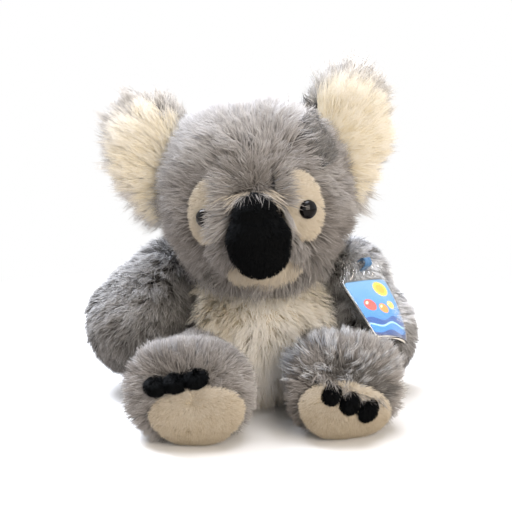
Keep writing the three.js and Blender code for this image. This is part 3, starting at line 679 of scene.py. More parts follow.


# The body's pile is painted paler where it faces up: light from above.
grow_pile("body_pile", "torso", grey_pile, "grey_fur", torso, DOWN, lambda p, n: on_body(p) & ~in_belly(p),
          lambda p, n: 0.35 + 0.25 * n[:, 2], 11, 2400, 10, 1.8, 13, lean=(22, 66), clump=0.5, base=-6.5,
          width=0.45)
grow_pile("belly_pile", "torso", cream_pile, "cream_fur", torso, belly_comb,
          lambda p, n: on_body(p) & in_belly(p), belly_tone, 12, 4000, 14, 1.6, belly_length, lean=(14, 56),
          clump=0.6, swirl=20, base=-5.5, width=0.42, locks=12, lock_pull=0.45, glint_share=0.1)
print("body and belly")

# %% [markdown]
# ## Head
# The face pile is combed away from the top of the nose: up over the forehead, out over the cheeks.
# Behind the ears it lies down the back. The crown is painted paler, most of all on its right, as
# light from above; the cheeks and chin are painted darker, as shade. The velour nose, the muzzle
# and the eye patches are short-napped pieces let into it, so the long pile stops at their edges.

# %% Nose, patches and ears as forms
nose_top, nose_middle = vec(0, -58, 2), vec(0, -69.35, -10)
c, s = cos_sin(3)
nose_half_spine = 9.3 * vec(s, 0, -c)
nose = Stuffed(head.place(nose_middle - nose_half_spine), head.place(nose_middle + nose_half_spine),
               [13.4, 16.35, 19.3, 18], [10.75, 12.5, 12.5, 10.75], (13.4, 18), across=head.turned @ ACROSS)


def face_patch(x, z, half_width, heights, lean):
    """An oval on the face. Its plane faces outwards from the head's upright axis at x, and it leans."""
    way = unit(vec(x, -math.sqrt(head.half_width ** 2 - x * x), 0))
    across = np.cross(UP, way)
    c, s = cos_sin(lean)
    across, up = across * c + UP * s, UP * c - across * s
    return Patch(head, head.place(way * 30.0 + [0, 0, z]), head.turned @ across, head.turned @ up,
                 head.turned @ way, half_width, heights, (2, 2), 1.0, 60.0)


def ear_form(side):
    """A flat padded leaf from the head's side. The right ear sits lower and leans out further."""
    splay, root_z = (25.0, 13.0) if side < 0 else (17.0, 16.0)
    c, s = cos_sin(splay)
    lean, root = vec(side * s, 0, c), vec(side * 51, 11, root_z)
    across = head.turned @ np.cross([0.0, 1.0, 0.0], lean)
    return Stuffed(head.place(root), head.place(root + 38 * lean), [26, 31, 27], [10, 10, 8.6], (26, 24),
                   across=across)


eye_patches = {"right": face_patch(-26.5, 3.0, 12.5, (17, 21), -20),
               "left": face_patch(26.5, 2.5, 12.5, (18, 23), 14)}
muzzle = Patch(head, head.place(vec(2, -20, -36.5)), head.turned @ ACROSS, head.turned @ UP, FORWARD, 22,
               (14, 13), (2, 2), 1.2, 80.0)
ears = {k: ear_form(side) for k, side in SIDES.items()}
front_way = head.turned @ FORWARD

# %% Head skin and pile
sewn("head_plush", "head", grey_backing, head, -7.0, 64, 90, "head_skin")
filling("head_fibre", "head", head, 13.0, "head_filling")


def face_comb(p, n):
    """Away from the nose's top in the head's own frame, sinking by 12 mm, and down at the back."""
    q = head.local(p)
    away = q - nose_top
    away[:, 2] -= 12 + 0.5 * np.maximum(q[:, 1], 0)
    away[q[:, 2] < -30] += [0, 20, -30]
    return away @ head.turned.T


def face_tone(p, n):
    """Pale on the crown and upper sides, most on the right: painted top light. Darker on the cheeks
    and under the chin: painted shade. Also darker above the nose.
    """
    q = head.local(p)
    near = np.linalg.norm(q - vec(0, -60, 8), axis=1)
    crown = np.clip((q[:, 2] - 24 - 0.28 * q[:, 0]) / 28, 0, 1)
    return 0.27 + 0.95 * crown - 0.28 * np.clip(-q[:, 2] / 40, 0, 1) - 0.2 * np.exp(-(near / 17) ** 2)


def face_length(p, n):
    """Short round the nose and the eyes, long on the crown and cheeks."""
    q = head.local(p)
    near = np.linalg.norm((q - vec(0, -66, -6)) * [1, 0.6, 0.8], axis=1)
    low = np.clip((20 - q[:, 2]) / 50, 0, 1)
    return 9 + (9 - 3 * low) * np.clip((near - 14) / 30, 0, 1)


def bare_face(p):
    """Outside the nose, the muzzle patch, the eye patches and the ears' roots. High up and within
    20 mm of the middle the brow's pile may cross a patch's inner edge."""
    q = head.local(p)
    free = (nose.depth(p, 1.0) < 0) & ~muzzle.holds(p, -1.0)
    for k, low_limit in (("right", -8.0), ("left", 1.0)):
        low = q[:, 2] < low_limit
        free &= ~eye_patches[k].holds(p, -2.5) | (np.abs(q[:, 0]) < 20) & ~low
        free &= ~(eye_patches[k].holds(p, 1.5) & low)
        free &= ears[k].depth(p, -4.0) < 0
    return free


for name, seed, tufts, front in (("face_pile", 21, 5400, True), ("crown_pile", 22, 4500, False)):
    def in_cut(p, n, front=front):
        """The face's cut ends 8 mm before the head's centre, and the crown's starts there."""
        return ((head.local(p)[:, 1] < -8) == front) & bare_face(p) & (torso.depth(p, -8.0) < 0)
    grow_pile(name, "head", grey_pile, "grey_fur", head, face_comb, in_cut, face_tone, seed, tufts, 15, 2.0,
              face_length, lean=(15, 58), clump=0.66, swirl=26, base=-7.2, width=0.45, locks=8,
              lock_pull=0.45)

# %% [markdown]
# Over the pile lie loose hairs: a brow that hangs over the inner eye patches, pale wisps and a few
# grey ones over the nose, a dark edge before the left ear, and a fringe round the chin. Each kind
# starts on a line of its own, so it is placed by numbers drawn along that line.

# %% Long hairs of the brow, the nose and the chin
rng = np.random.default_rng(5)
many_of = lambda n: int(n * share_grown)


def on_front(x, z, grow):
    """The point of the head's front over x and z in the head's own frame, and its outward normal."""
    p = meet(head, head.place(rows(x, -12.0, z)), head.place(rows(x, -110.0, z)), grow)
    q = head.local(p)
    return p, unit(rows(q[:, 0], q[:, 1] + 6, q[:, 2] * 0.9)) @ head.turned.T


for k, side, many, lowest, reach_in in (("right", -1, many_of(1200), -9.0, 6.0),
                                        ("left", 1, many_of(700), -2.5, 3.5)):
    z = rng.uniform(lowest, 22, many)
    low = (z < 3) & (side > 0)
    inner = rng.uniform(-1.0, reach_in, many) * np.where(low, 0.5, 1)
    x = side * (13.0 + 6.5 * np.clip((8 - z) / 20, 0, 1) + inner)
    root, normal = on_front(x, z, 0.5)
    comb = rows(side * 1.0, 0.0, 0.035 * (z - 4) - 3.0 * low) @ head.turned.T
    loose_strands(f"brow_{k}_strands", "head", grey_pile, root, normal, comb, 12.0, (26, 72), 0.5, 101 + side,
                  width=0.42)

many = many_of(170)
x, z = 6.0 * rng.standard_normal(many) - 1.5, 8 + 4 * rng.random(many)
root, normal = on_front(x, z, 0.0)
comb = rows(0.16 * x + 0.35 * rng.standard_normal(many), 0.0, -1.0) @ head.turned.T
loose_strands("nose_wisps", "head", wisp_pile, root, normal, comb, 16.0, (15, 95), 0.5, 103, width=0.4)

many = many_of(46)
x = rng.uniform(-11, 9, many)
middle = np.tile(head.place(nose_middle), (many, 1))
outward = rows(1.2 * x, 1 - 4 * rng.random(many), 26.0) @ head.turned.T
root = meet(nose, middle, middle + 1.5 * outward, 0.0)
normal = unit(rows(0.03 * x, -0.8, 0.35) @ head.turned.T)
comb = rows(0.1 * x + 0.6 * rng.standard_normal(many), 0.0, -1.0) @ head.turned.T
loose_strands("nose_front_wisps", "head", grey_pile, root, normal, comb, 9.5, (30, 92), 0.25, 104, width=0.26)

many = many_of(3400)
along, aside = rng.uniform(0, 1, many), rng.uniform(-1, 1, many)
root, normal = on_front(32 + 12 * along + 4.5 * aside, 48 - 27 * along + 2.5 * aside, 0.8)
loose_strands("ear_left_edge_strands", "head", arm_pile, root, normal, head.turned @ vec(0.75, 0, 0.65), 8.5,
              (20, 66), -0.15, 105, width=0.42)

many = many_of(2600)
turn = rng.uniform(-2.0, 2.0, many)
z = -34 - 9 * rng.random(many) + 4 * np.abs(turn)
x, y = np.sin(turn), -np.cos(turn)
root = meet(head, head.place(rows(0.0, 0.0, z)), head.place(rows(110 * x, 110 * y, z - 18)), -5.0)
normal = unit(rows(x, y, -0.55) @ head.turned.T)
clumps = np.sin(9 * turn + 1)[:, None] * rows(y, -x, 0.0)
comb = rows(0.9 * x, 0.9 * y, -1.0) + 0.5 * clumps
loose_strands("chin_strands", "head", grey_pile, root, normal, comb, 15.0, (30, 66), 0.38, 107, width=0.44,
              droop=0.1)

# %% Nose and muzzle
front_half = (0.5, 1)
velour_nap = {"lean": (25, 60), "clump": 0.3, "width": 0.35}
clipped = {"clump": 0.35, "width": 0.35, "s_range": front_half}
sewn("nose_velour", "head", black_velour, nose, -0.8, 40, 48, "nose")
grow_pile("nose_nap", "head", black_nap, "black_velour", nose, DOWN,
          lambda p, n: head.depth(p, -3.0) < 0, 0.4, 31, 1500, 6, 0.9, 2.4, base=-0.8, **velour_nap)
sewn("muzzle_plush", "head", cream_backing, muzzle, -0.5, 24, 40, "muzzle_patch")
grow_pile("muzzle_pile", "head", clipped_cream, "cream_fur", muzzle, DOWN,
          lambda p, n: nose.depth(p, 0.5) < 0, 0.35, 32, 700, 10, 1.2, 5.5, lean=(20, 62), base=-0.5,
          **clipped)
print("head, nose and muzzle")

# %% [markdown]
# ## Eyes
# Each eye is a moulded plastic dome on a shaft. The shaft goes through the patch and the skin, and a
# nylon washer is pressed on behind. The dome has a thin flange, so it reflects in one clean spot.

# %% Eyes and their patches
# Moulded ABS is smooth enough to mirror a lamp as one sharp dot. Nylon is milky and duller.
gloss = principled("moulded_plastic_black_gloss", Base_Color="#070505", Roughness=0.06,
                   Specular_IOR_Level=0.25)[0]
nylon = principled("moulded_nylon_white", Base_Color="#dddbd4", Roughness=0.45)[0]
shaft, seat, dome_radius, dome_height = 1.8, 3.3, 5.7, 3.8
profile = np.array([(0, -8), (shaft, -8), (shaft, -4), (shaft, seat), (5.2, seat), (5.6, seat + 0.2),
                    (dome_radius, seat + 0.6)]
                   + [(dome_radius * math.cos(a), seat + 0.8 + dome_height * math.sin(a))
                      for a in np.linspace(0, math.pi / 2, 16)[:-1]] + [(0, seat + 0.8 + dome_height)])


def turned_surface(profile, place, axis):
    """A profile of (radius, height) points turned about an axis. s picks the profile point."""
    a = unit(np.cross(axis, UP))
    b = np.cross(axis, a)

    def surface(s, turn):
        """place + height along the axis + radius (a cos turn + b sin turn)."""
        s, turn = np.broadcast_arrays(s, turn)
        number = np.arange(len(profile))
        r, h = (np.interp(s * (len(profile) - 1), number, profile[:, i]) for i in (0, 1))
        return (place + h[..., None] * axis + (r * np.cos(turn))[..., None] * a
                + (r * np.sin(turn))[..., None] * b)
    return surface


for k, side in SIDES.items():
    patch = eye_patches[k]
    sewn(f"eye_patch_{k}_plush", "head", cream_backing, patch, -0.6, 24, 40, f"eye_patch_{k}")
    grow_pile(f"eye_patch_{k}_pile", "head", clipped_cream, "cream_fur", patch, face_comb,
              lambda p, n: nose.depth(p, 0.5) < 0, lambda p, n: 0.4 + 0.008 * head.local(p)[:, 2],
              41 + side, 700, 10, 1.2, 5.0, lean=(25, 66), base=-0.6, **clipped)
    x = side * 28.5
    radial = vec(x, -math.sqrt(head.half_width ** 2 - x * x), 0)
    surface = turned_surface(profile, head.place(radial + [0, 0, -2.0]), unit(head.turned @ unit(radial)))
    eye = closed_surface(f"eye_{k}_dome", "head", gloss, surface, len(profile) - 2, 40)
    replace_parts(eye, f"eye_{k}")
for k in SIDES:
    washer = frame["nodes"][f"eye_washer_{k}"]
    washer.data.materials.clear()
    washer.data.materials.append(nylon)
print("eyes and patches")

# %% [markdown]
# ## Ears
# An ear is a padded leaf. Its cream front is combed outwards from the head. The long rim pile has
# dark roots and white tips, so from the front it reads as a pale halo. At the inner edge the grey
# back folds over to the front.

# %% Ears
for k, side in SIDES.items():
    ear = ears[k]
    lift = 2.5 * front_way
    core = Stuffed(ear.p0, ear.p1, ear.wide - 8, ear.deep - 4, (18, 16), across=ear.a)
    lining = Stuffed(ear.p0 + lift, ear.p1 + lift - 7 * ear.up, ear.wide - 12, ear.deep - 4.5, (16, 12),
                     across=ear.a)
    # The fold starts this far in from the leaf's axis, and runs between these heights.
    fold_from, fold_low, fold_high = (12.0, 26.0, 70.0) if side < 0 else (14.0, -2.0, 33.0)
    rise = lambda p: (p - ear.p0) @ ear.up
    on_edge = lambda p: (head.depth(p, -5.0) < 0)

    def ear_comb(p, n):
        """Outwards from a point inside the ear's foot, in the plane of the leaf."""
        out = p - (ear.p0 - head.turned @ vec(side * 12, 0, 4))
        return out - (out @ front_way)[:, None] * front_way

    def folded(p):
        """The inner edge of the leaf, where the grey back folds over to the front."""
        return (-side * ((p - ear.p0) @ ear.a) > fold_from) & (rise(p) > fold_low) & (rise(p) < fold_high)

    def fringe_length(p, n):
        """17 - 14u + 12u^2 on the right ear and 12 + 12u^2 - 8 min(u, 0) on the left, where u is how
        far the normal points up the leaf. Both are longest at the leaf's foot."""
        u = np.maximum(n @ ear.up, -0.15 if side < 0 else -0.8)
        return 17 - 14 * u + 12 * u * u if side < 0 else 12 + 12 * u * u - 8 * np.minimum(u, 0)

    def rim_length(p, n):
        """The fringe's length, ragged: from 1 mm less to 5 mm more."""
        return fringe_length(p, n) + 6 * np.sin(p[:, 0] / 4.1 + p[:, 2] / 3.3) ** 2 - 1

    def lining_tone(p, n):
        """Palest away from the leaf's middle, painted backlight on the rim, and darker down at its foot,
        painted shade.
        """
        middle = core.p0 + 10 * core.up
        return 0.4 + 0.0006 * ((p - middle) ** 2).sum(1) + 0.02 * np.minimum((p - core.p0) @ core.up, 0)

    sewn(f"ear_{k}_plush", "head", dark_backing, core, -0.5, 36, 48, f"ear_{k}_back")
    sewn(f"ear_{k}_lining_plush", "head", cream_backing, lining, 0, 36, 48, f"ear_{k}_lining")
    # The back pile is painted paler where it faces up: light from above.
    grow_pile(f"ear_{k}_pile", "head", ear_pile, "grey_fur", core, ear_comb,
              lambda p, n: on_edge(p) & ((n @ front_way < 0.55) | (lining.depth(p, -3.0) < 0)) & ~folded(p),
              lambda p, n: 0.4 + 0.2 * n[:, 2], 51 + side, 2500, 10, 1.8,
              lambda p, n: 0.85 * fringe_length(p, n), lean=(16, 52), clump=0.5, swirl=22, base=0.0,
              width=0.38)
    # The fold's pile, its tone and its share of painted glints.
    fold_pile, fold_tone, fold_glints = (ear_pile, 0.45, 0.25) if side < 0 else (arm_pile, 0.12, 0.08)
    grow_pile(f"ear_{k}_fold_pile", "head", fold_pile, "grey_fur", core, ear_comb,
              lambda p, n: on_edge(p) & folded(p), fold_tone, 54 + side, 1500, 11, 1.6, 13, lean=(14, 55),
              clump=0.72, base=1.5, width=0.4, glint_share=fold_glints)
    grow_pile(f"ear_{k}_rim_pile", "head", ear_pile, "grey_fur", core, ear_comb,
              lambda p, n: on_edge(p) & (np.abs(n @ front_way) < 0.9) & ~folded(p),
              lambda p, n: 0.22 + 0.35 * np.sin(p[:, 0] / 2.3) * np.sin(p[:, 2] / 2.9),
              56 + side, 1900, 11, 1.5, rim_length, lean=(18, 60), clump=0.8, swirl=20, base=0.0, width=0.36,
              locks=6, lock_pull=0.6, glint_share=0.3)
    grow_pile(f"ear_{k}_lining_pile", "head", ear_cream_pile, "cream_fur", lining, ear_comb,
              lambda p, n: on_edge(p) & (n @ front_way > 0.05) & ~folded(p), lining_tone,
              61 + side, 2100, 13, 1.6, 21, lean=(30, 76), clump=0.8, swirl=10, base=0.0, width=0.46,
              locks=7, lock_pull=0.55, glint_share=0.16)
print("ears")

# %% [markdown]
# ## Arms and legs
# Each limb is a ball at the joint and a long sack. The pile on the arms is darker and stands in
# small locks; it is painted paler where it faces up, and the left arm's top has a pale pile of its
# own, a painted highlight. On the feet it is combed up and away from the claws. The left foot has a
# dark band above its claws and long pale hair on top, a painted highlight.

# %% Arms
# Each arm's pile is painted paler where it faces up, as light from above; the left arm's much more.
for k, darkest, top_light in (("right", 0.2, 0.6), ("left", 0.28, 1.1)):
    arm, body = arms[k], f"arm_{k}"
    sewn(f"arm_{k}_plush", body, dark_backing, arm, -7.5, 40, 52, f"arm_{k}_skin")
    filling(f"arm_{k}_fibre", body, arm, 11.0, f"arm_{k}_filling")
    bare_arm = lambda p: outside(p, (torso, -6.0), (head, -10.0), (legs[k], -7.0))
    grow_pile(f"arm_{k}_pile", body, arm_pile, "dark_grey_fur", arm, arm.up + [0, 0, -0.4],
              lambda p, n: bare_arm(p), lambda p, n: darkest + top_light * np.clip(n[:, 2], 0, 1) ** 2,
              71 + SIDES[k], 3300, 11, 1.7, 13, lean=(16, 60), clump=0.62, swirl=26, base=-7.0, width=0.45,
              glint_share=0.14)
    if k == "left":
        # The left arm's top gets a second, pale pile: a painted highlight.
        grow_pile("arm_left_highlight_pile", body, highlight_pile, "dark_grey_fur", arm, vec(0.5, 0, -0.4),
                  lambda p, n: (n[:, 2] > 0.45) & (p[:, 0] > 62.0) & bare_arm(p),
                  lambda p, n: 0.5 + 0.6 * n[:, 2], 78, 2400, 12, 1.6, 13, lean=(10, 50), clump=0.6, swirl=26,
                  base=-6.0, width=0.42, glint_share=0.3)

# %% Legs, soles and claws
# For each foot: the roll of the claws' row and of the pad in degrees, the row's height over the
# toe's middle and its step aside, the pad's step aside and lift, and a claw's half sizes.
foot_sizes = {"right": (12.0, 7.0, 12.4, -5.0, 3.0, 4.5, (6.4, 4.5)),
              "left": (26.0, 14.0, -2.5, 3.5, 2.5, 2.5, (5.7, 6.3))}
claw_pitch, claw_cap = 11.4, 6.6


def turned_axes(degrees):
    """Across and up after a turn in the plane that faces forwards."""
    c, s = cos_sin(degrees)
    return vec(c, 0, s), vec(-s, 0, c)


for k, side in SIDES.items():
    leg, foot, body = legs[k], toe[k], f"leg_{k}"
    roll, pad_roll, rise, aside, pad_aside, lift, (wide, high) = foot_sizes[k]
    sewn(f"leg_{k}_plush", body, grey_backing, leg, -7.0, 48, 56, f"leg_{k}_skin")
    filling(f"leg_{k}_fibre", body, leg, 11.0, f"leg_{k}_filling")
    across, up = turned_axes(-side * pad_roll)
    sole = Patch(leg, foot - (12 - lift) * up + pad_aside * across, across, up, FORWARD, 26,
                 (19 - lift, 17 + lift), (2.1, 1.8), 2.0, 40.0)
    sewn(f"sole_{k}_plush", body, cream_backing, sole, -1.0, 30, 48, f"sole_pad_{k}")
    across, up = turned_axes(-side * roll)
    claws = []
    for i in range(3):
        x, z = (i - 1) * claw_pitch + aside, rise
        ox, _, oz = x * across + z * up
        out = 20 * math.sqrt(max(1 - (ox / foot_half[k]) ** 2 - (oz / foot_high) ** 2, 0.0))
        tip = foot + x * across + z * up + out * FORWARD
        claw = Stuffed(tip - 0.05 * FORWARD, tip + 0.05 * FORWARD, [wide, wide], [high, high],
                       (claw_cap, claw_cap), across=across)
        claws.append(claw)
        name = f"claw_{k}_{i + 1}"
        sewn(f"{name}_velour", body, black_velour, claw, 0.0, 24, 32, name)
        grow_pile(f"{name}_nap", body, black_nap, "black_velour", claw, DOWN,
                  lambda p, n: leg.depth(p, -2.0) < 0, 0.4, 90 + i, 420, 6, 0.7, 2.6, base=0.0, **velour_nap)
    claw_middle = foot + rise * up + aside * across + 14 * FORWARD
    off_claws = lambda p: outside(p, *((claw, 0.0) for claw in claws))

    def foot_tone(p, n):
        """Dark near the claws. The right foot pales downwards, painted shade on its top, and the left one
        pales to its outer side, painted light.
        """
        near = np.exp(-(((p - claw_middle) ** 2).sum(1) / 18 ** 2))
        return 0.44 - 0.22 * n[:, 2] - 0.35 * near if side < 0 else 0.24 + 0.5 * n[:, 0] - 0.4 * near

    def dark_band(p):
        """A band of dark fur above the left foot's claws."""
        a, b = (p - foot) @ across - aside, (p - foot) @ up - rise - 10
        return (side > 0) & ((a / 20) ** 2 + (b / 8) ** 2 < 1) & (p[:, 1] < foot[1] + 16)

    def on_leg(p):
        """Outside the body and the head, and clear of the sole, the claws and the ground."""
        free = outside(p, (torso, -4.0), (head, -10.0)) & (p[:, 2] > 3.5)
        return free & ~sole.holds(p, -2.0) & off_claws(p)

    # Away from the claws and back along the leg, and shorter on the side that faces the other leg.
    leg_comb = lambda p, n: p - claw_middle + [0, 12.0, 4.0]
    leg_length = lambda p, n: 11.5 - 3.5 * np.clip(-side * n[:, 0], 0, 1)
    grow_pile(f"leg_{k}_pile", body, grey_pile, "grey_fur", leg, leg_comb,
              lambda p, n: on_leg(p) & ~dark_band(p), foot_tone, 81 + side, 3500, 11, 1.7, leg_length,
              lean=(12, 50), clump=0.55, swirl=24, base=-7.2, width=0.45, locks=7, lock_pull=0.35,
              glint_share=0.08 if side < 0 else 0.3)
    if k == "left":
        grow_pile("leg_left_band_pile", body, arm_pile, "dark_grey_fur", leg, leg_comb,
                  lambda p, n: dark_band(p) & ~sole.holds(p, -2.0) & off_claws(p), -0.1, 89, 5000, 12, 1.4,
                  11.5, lean=(8, 46), clump=0.7, base=-7.0, width=0.42, glint_share=0.16)
        # Long pale hair on the left foot's top: painted highlights.
        grow_pile("leg_left_highlight_pile", body, highlight_pile, "grey_fur", leg, leg_comb,
                  lambda p, n: (n[:, 2] > 0.15) & (p[:, 1] < foot[1] + 24) & off_claws(p), 0.6, 88, 760, 12,
                  1.2, 12.5, lean=(4, 40), clump=0.72, swirl=40, base=-5.5, width=0.3, locks=20,
                  lock_pull=0.2)
        many = many_of(240)
        along_row = rng.uniform(-21, 21, many)
        above_row = rise + 6.5 + 1.5 * rng.standard_normal(many)
        spot = foot + along_row[:, None] * across + above_row[:, None] * up
        root = meet(leg, spot + 10 * FORWARD, spot + 60 * FORWARD, -2.0)
        hang = rows(0.02 * along_row + 0.4 * rng.standard_normal(many), 0.0, -1.0)
        normal = np.tile(unit(FORWARD + 0.5 * up), (many, 1))
        loose_strands("leg_left_front_strands", body, grey_pile, root, normal, hang, 8.5, (20, 80), 0.25, 109,
                      width=0.42)
    # The sole's nap is painted darker towards its lower edge: shade under the foot.
    grow_pile(f"sole_{k}_pile", body, sole_nap, "cream_fur", sole, lambda p, n: (p - foot) * [1, 0, 1],
              lambda p, n: off_claws(p) & (p[:, 2] > 2.0),
              lambda p, n: np.clip(0.22 + 0.026 * (p[:, 2] - 16), 0, 0.75), 85 + side, 1700, 10, 1.2, 3.6,
              lean=(14, 50), clump=0.25, base=-1.0, width=0.32, s_range=front_half)
print("limbs")

# %% [markdown]
# ## Hang tag
# A printed card hangs in a clear packet from a ribbon loop that is sewn to the arm. Card, film and
# ribbon are all thin plates bent over the arm, so one function makes them: it offsets a bent sheet
# by half its thickness to both sides and closes the rim. The card's print is drawn by its shader on
# the plate's own map, as plain shapes: a sky, waves, a sun and three balls.

# %% Plates
def plate(name, body, material, surface, thick, across, along):
    """surface(x, y) bends the unit square. The plate's two faces lie thick/2 to each side of it, and
    its rim joins them. The front face fills the map's left half and the back face the right half."""
    x, y = np.meshgrid(np.linspace(0, 1, across + 1), np.linspace(0, 1, along + 1), indexing="ij")
    p = surface(x, y)
    normal = unit(np.cross(np.gradient(p, axis=0), np.gradient(p, axis=1)))
    vertices = np.concatenate([(p + way * normal * thick / 2).reshape(-1, 3) for way in (1, -1)])
    n, m = across + 1, along + 1
    cell = (np.arange(across)[:, None] * m + np.arange(along)).ravel()
    front = np.stack([cell, cell + m, cell + m + 1, cell + 1], -1)
    ring = np.concatenate([np.arange(across) * m, across * m + np.arange(along),
                           (across - np.arange(across)) * m + along, along - np.arange(along)])
    after = np.roll(ring, -1)
    rim = np.stack([after, ring, ring + n * m, after + n * m], -1)
    quads = np.concatenate([front, front[:, ::-1] + n * m, rim])
    uv = np.stack([x.ravel() * 0.47 + 0.01, y.ravel() * 0.96 + 0.02], -1)
    return link(name, body, material, vertices, quads.ravel(), np.full(len(quads), 4),
                np.concatenate([uv, uv + [0.5, 0.0]]))


def rounded(x, y, width, top, bottom, corner=2.5):
    """The unit square as a rectangle whose corners are drawn in to arcs."""
    half, high = width / 2, (top - bottom) / 2
    px, py = (2 * x - 1) * half, (2 * y - 1) * high
    dx, dy = np.maximum(np.abs(px) - half + corner, 0), np.maximum(np.abs(py) - high + corner, 0)
    far = np.hypot(dx, dy)
    draw = np.where(far > corner, corner / np.maximum(far, 1e-9), 1.0)
    px = np.where(dx > 0, np.sign(px) * (half - corner + dx * draw), px)
    py = np.where(dy > 0, np.sign(py) * (high - corner + dy * draw), py)
    return px, py + (top + bottom) / 2


def outward_frame(turn, tilt, lean):
    """Across, up and out of a plane that faces turn degrees to the left and tilt degrees upwards."""
    (ct, st), (ck, sk), (c, s) = cos_sin(turn), cos_sin(tilt), cos_sin(lean)
    out = vec(st * ck, -ct * ck, sk)
    x = unit(np.cross(UP, out))
    y = np.cross(out, x)
    return x * c + y * s, -x * s + y * c, out


slot_axes = outward_frame(27.0, 36.0, 4.0)
slot_middle = joint_at["tag_swing"] - 4.0 * slot_axes[1]
tag_axes = outward_frame(16.0, 48.0, 11.0)


def set_out(parts, axes):
    """slot_middle + the three parts along the three axes."""
    return slot_middle + sum(part[..., None] * axis for part, axis in zip(parts, axes))


def bent(x, y, lift):
    """Wraps the packet's plane over the arm: x becomes an angle x/R, with R from 120 mm at the top to
    48 mm at the foot. Under the slot it steps 3 mm to the right, and by the foot 4.5 mm back."""
    down = np.clip((-y - 10) / 42, 0, 1)
    radius = 120.0 - 72.0 * down
    angle = (x + 29.0) / radius
    across = (radius + lift) * np.sin(angle) - 31.0 - 3 * np.clip(-y / 10, 0, 1) + 4.5 * down
    out = (radius + lift) * np.cos(angle) - radius + 1.4
    return set_out((across, y + 3.2, out), tag_axes)


# %% [markdown]
# The print is a stack of flat colours, each laid over the last where its mask is 1. A mask is a
# short sum in Math nodes, so a table says it best. Each row names its result, the operation and the
# terms, which are numbers or the names of earlier rows.

# %% The card's print
def wave(height, swing, start):
    """y < height + swing sin(0.32 x + start)."""
    return [("a", "MULTIPLY", "x", 0.32), ("b", "ADD", "a", start), ("c", "SINE", "b"),
            ("d", "MULTIPLY", "c", swing), ("e", "ADD", "d", height), ("mask", "LESS_THAN", "y", "e")]


def oval_print(x, y, half_x, half_y, degrees=0.0):
    """((dx cos + dy sin)/a)^2 + ((dy cos - dx sin)/b)^2 < 1."""
    c, s = cos_sin(degrees)
    return [("dx", "SUBTRACT", "x", x), ("dy", "SUBTRACT", "y", y), ("a", "MULTIPLY", "dx", c / half_x),
            ("b", "MULTIPLY", "dy", s / half_x), ("e", "ADD", "a", "b"), ("c", "MULTIPLY", "dy", c / half_y),
            ("d", "MULTIPLY", "dx", s / half_y), ("f", "SUBTRACT", "c", "d"), ("g", "MULTIPLY", "e", "e"),
            ("h", "MULTIPLY", "f", "f"), ("i", "ADD", "g", "h"), ("mask", "LESS_THAN", "i", 1.0)]


def sun_print(radius, ray):
    """The distance from the sun's middle is under radius + ray sin(18 angle)."""
    return [("dx", "SUBTRACT", "x", 24.5), ("dy", "SUBTRACT", "y", 34.0), ("a", "MULTIPLY", "dx", "dx"),
            ("b", "MULTIPLY", "dy", "dy"), ("c", "ADD", "a", "b"), ("d", "SQRT", "c"),
            ("e", "ARCTAN2", "dy", "dx"), ("f", "MULTIPLY", "e", 18.0), ("g", "SINE", "f"),
            ("h", "MULTIPLY", "g", ray), ("i", "ADD", "h", radius), ("mask", "LESS_THAN", "d", "i")]


prints = [(wave(13.0, 1.6, 0.4), "#1f4f97"), (wave(9.4, 1.3, 1.6), "#9fd0ee"),
          (wave(8.2, 1.3, 1.7), "#2f7ecb"), (wave(4.0, 1.0, 3.0), "#1b3f7d"),
          (sun_print(5.2, 0.4), "#f1cd3c"), (sun_print(3.4, 0.0), "#e2a52a")]
for x, y, half, colour in ((9.5, 23.0, 4.2, "#e2574d"), (18.5, 20.0, 3.4, "#ee8f3c"),
                           (26.0, 22.5, 2.7, "#f3c944")):
    glint = oval_print(x - 0.35 * half, y + 0.4 * half, 0.35 * half, 0.2 * half, 40.0)
    prints += [(oval_print(x, y, half, half), colour), (glint, "#fbeecb")]

# Offset print under a gloss varnish: flat inks with a soft shine.
card_width, card_height = 34.0, 42.0
printed, tree, shader = principled("offset_print_gloss_card", Roughness=0.3)
u, v = add(tree, "SeparateXYZ", {0: add(tree, "UVMap", {}, uv_map="OFBake")}).outputs[:2]
column_u = add(tree, "Math", {0: u, 1: 2.0}, operation="MULTIPLY")
column_u = add(tree, "Math", {0: column_u}, operation="FRACT")
card_x = add(tree, "Math", {0: column_u, 1: card_width}, operation="MULTIPLY")
card_y = add(tree, "Math", {0: v, 1: card_height}, operation="MULTIPLY")
sky = add(tree, "ValToRGB", {0: v}, [(0.0, "#2672c0"), (0.45, "#4188c4"), (1.0, "#6fa3cf")]).outputs[0]
for steps, colour in prints:
    values = {"x": card_x, "y": card_y}
    for name, operation, *terms in steps:
        inputs = {i: values.get(term, term) for i, term in enumerate(terms)}
        values[name] = add(tree, "Math", inputs, operation=operation)
    sky = add(tree, "Mix", {0: values["mask"], 6: sky, 7: colour}, data_type="RGBA").outputs[2]
tree.links.new(sky, shader.inputs["Base Color"])

# %% Paper, film and ribbon finishes
# Uncoated paper is dull. Polypropylene film is clear and glossy, and it is so thin that it throws
# hardly a shadow. Satin ribbon has a fine weft that shines along its width.
leaflet = principled("uncoated_paper_white", Base_Color="#e8e5dd", Roughness=0.8)[0]
film, tree, shader = principled("clear_polypropylene_film", Base_Color="#ffffff", Roughness=0.05, IOR=1.49,
                                Transmission_Weight=1.0)
clear = add(tree, "BsdfTransparent", {"Color": (0.94, 0.94, 0.94, 1)})
shadow_ray = add(tree, "LightPath", {}).outputs["Is Shadow Ray"]
lamps_pass = add(tree, "MixShader", {0: shadow_ray, 1: shader, 2: clear})
tree.links.new(lamps_pass.outputs[0], tree.nodes["Material Output"].inputs["Surface"])
satin, tree, shader = principled("woven_satin_ribbon_blue", Base_Color="#4f7fae", Roughness=0.32,
                                 Sheen_Weight=0.3, Sheen_Roughness=0.3)
place = add(tree, "TexCoord", {}).outputs["UV"]
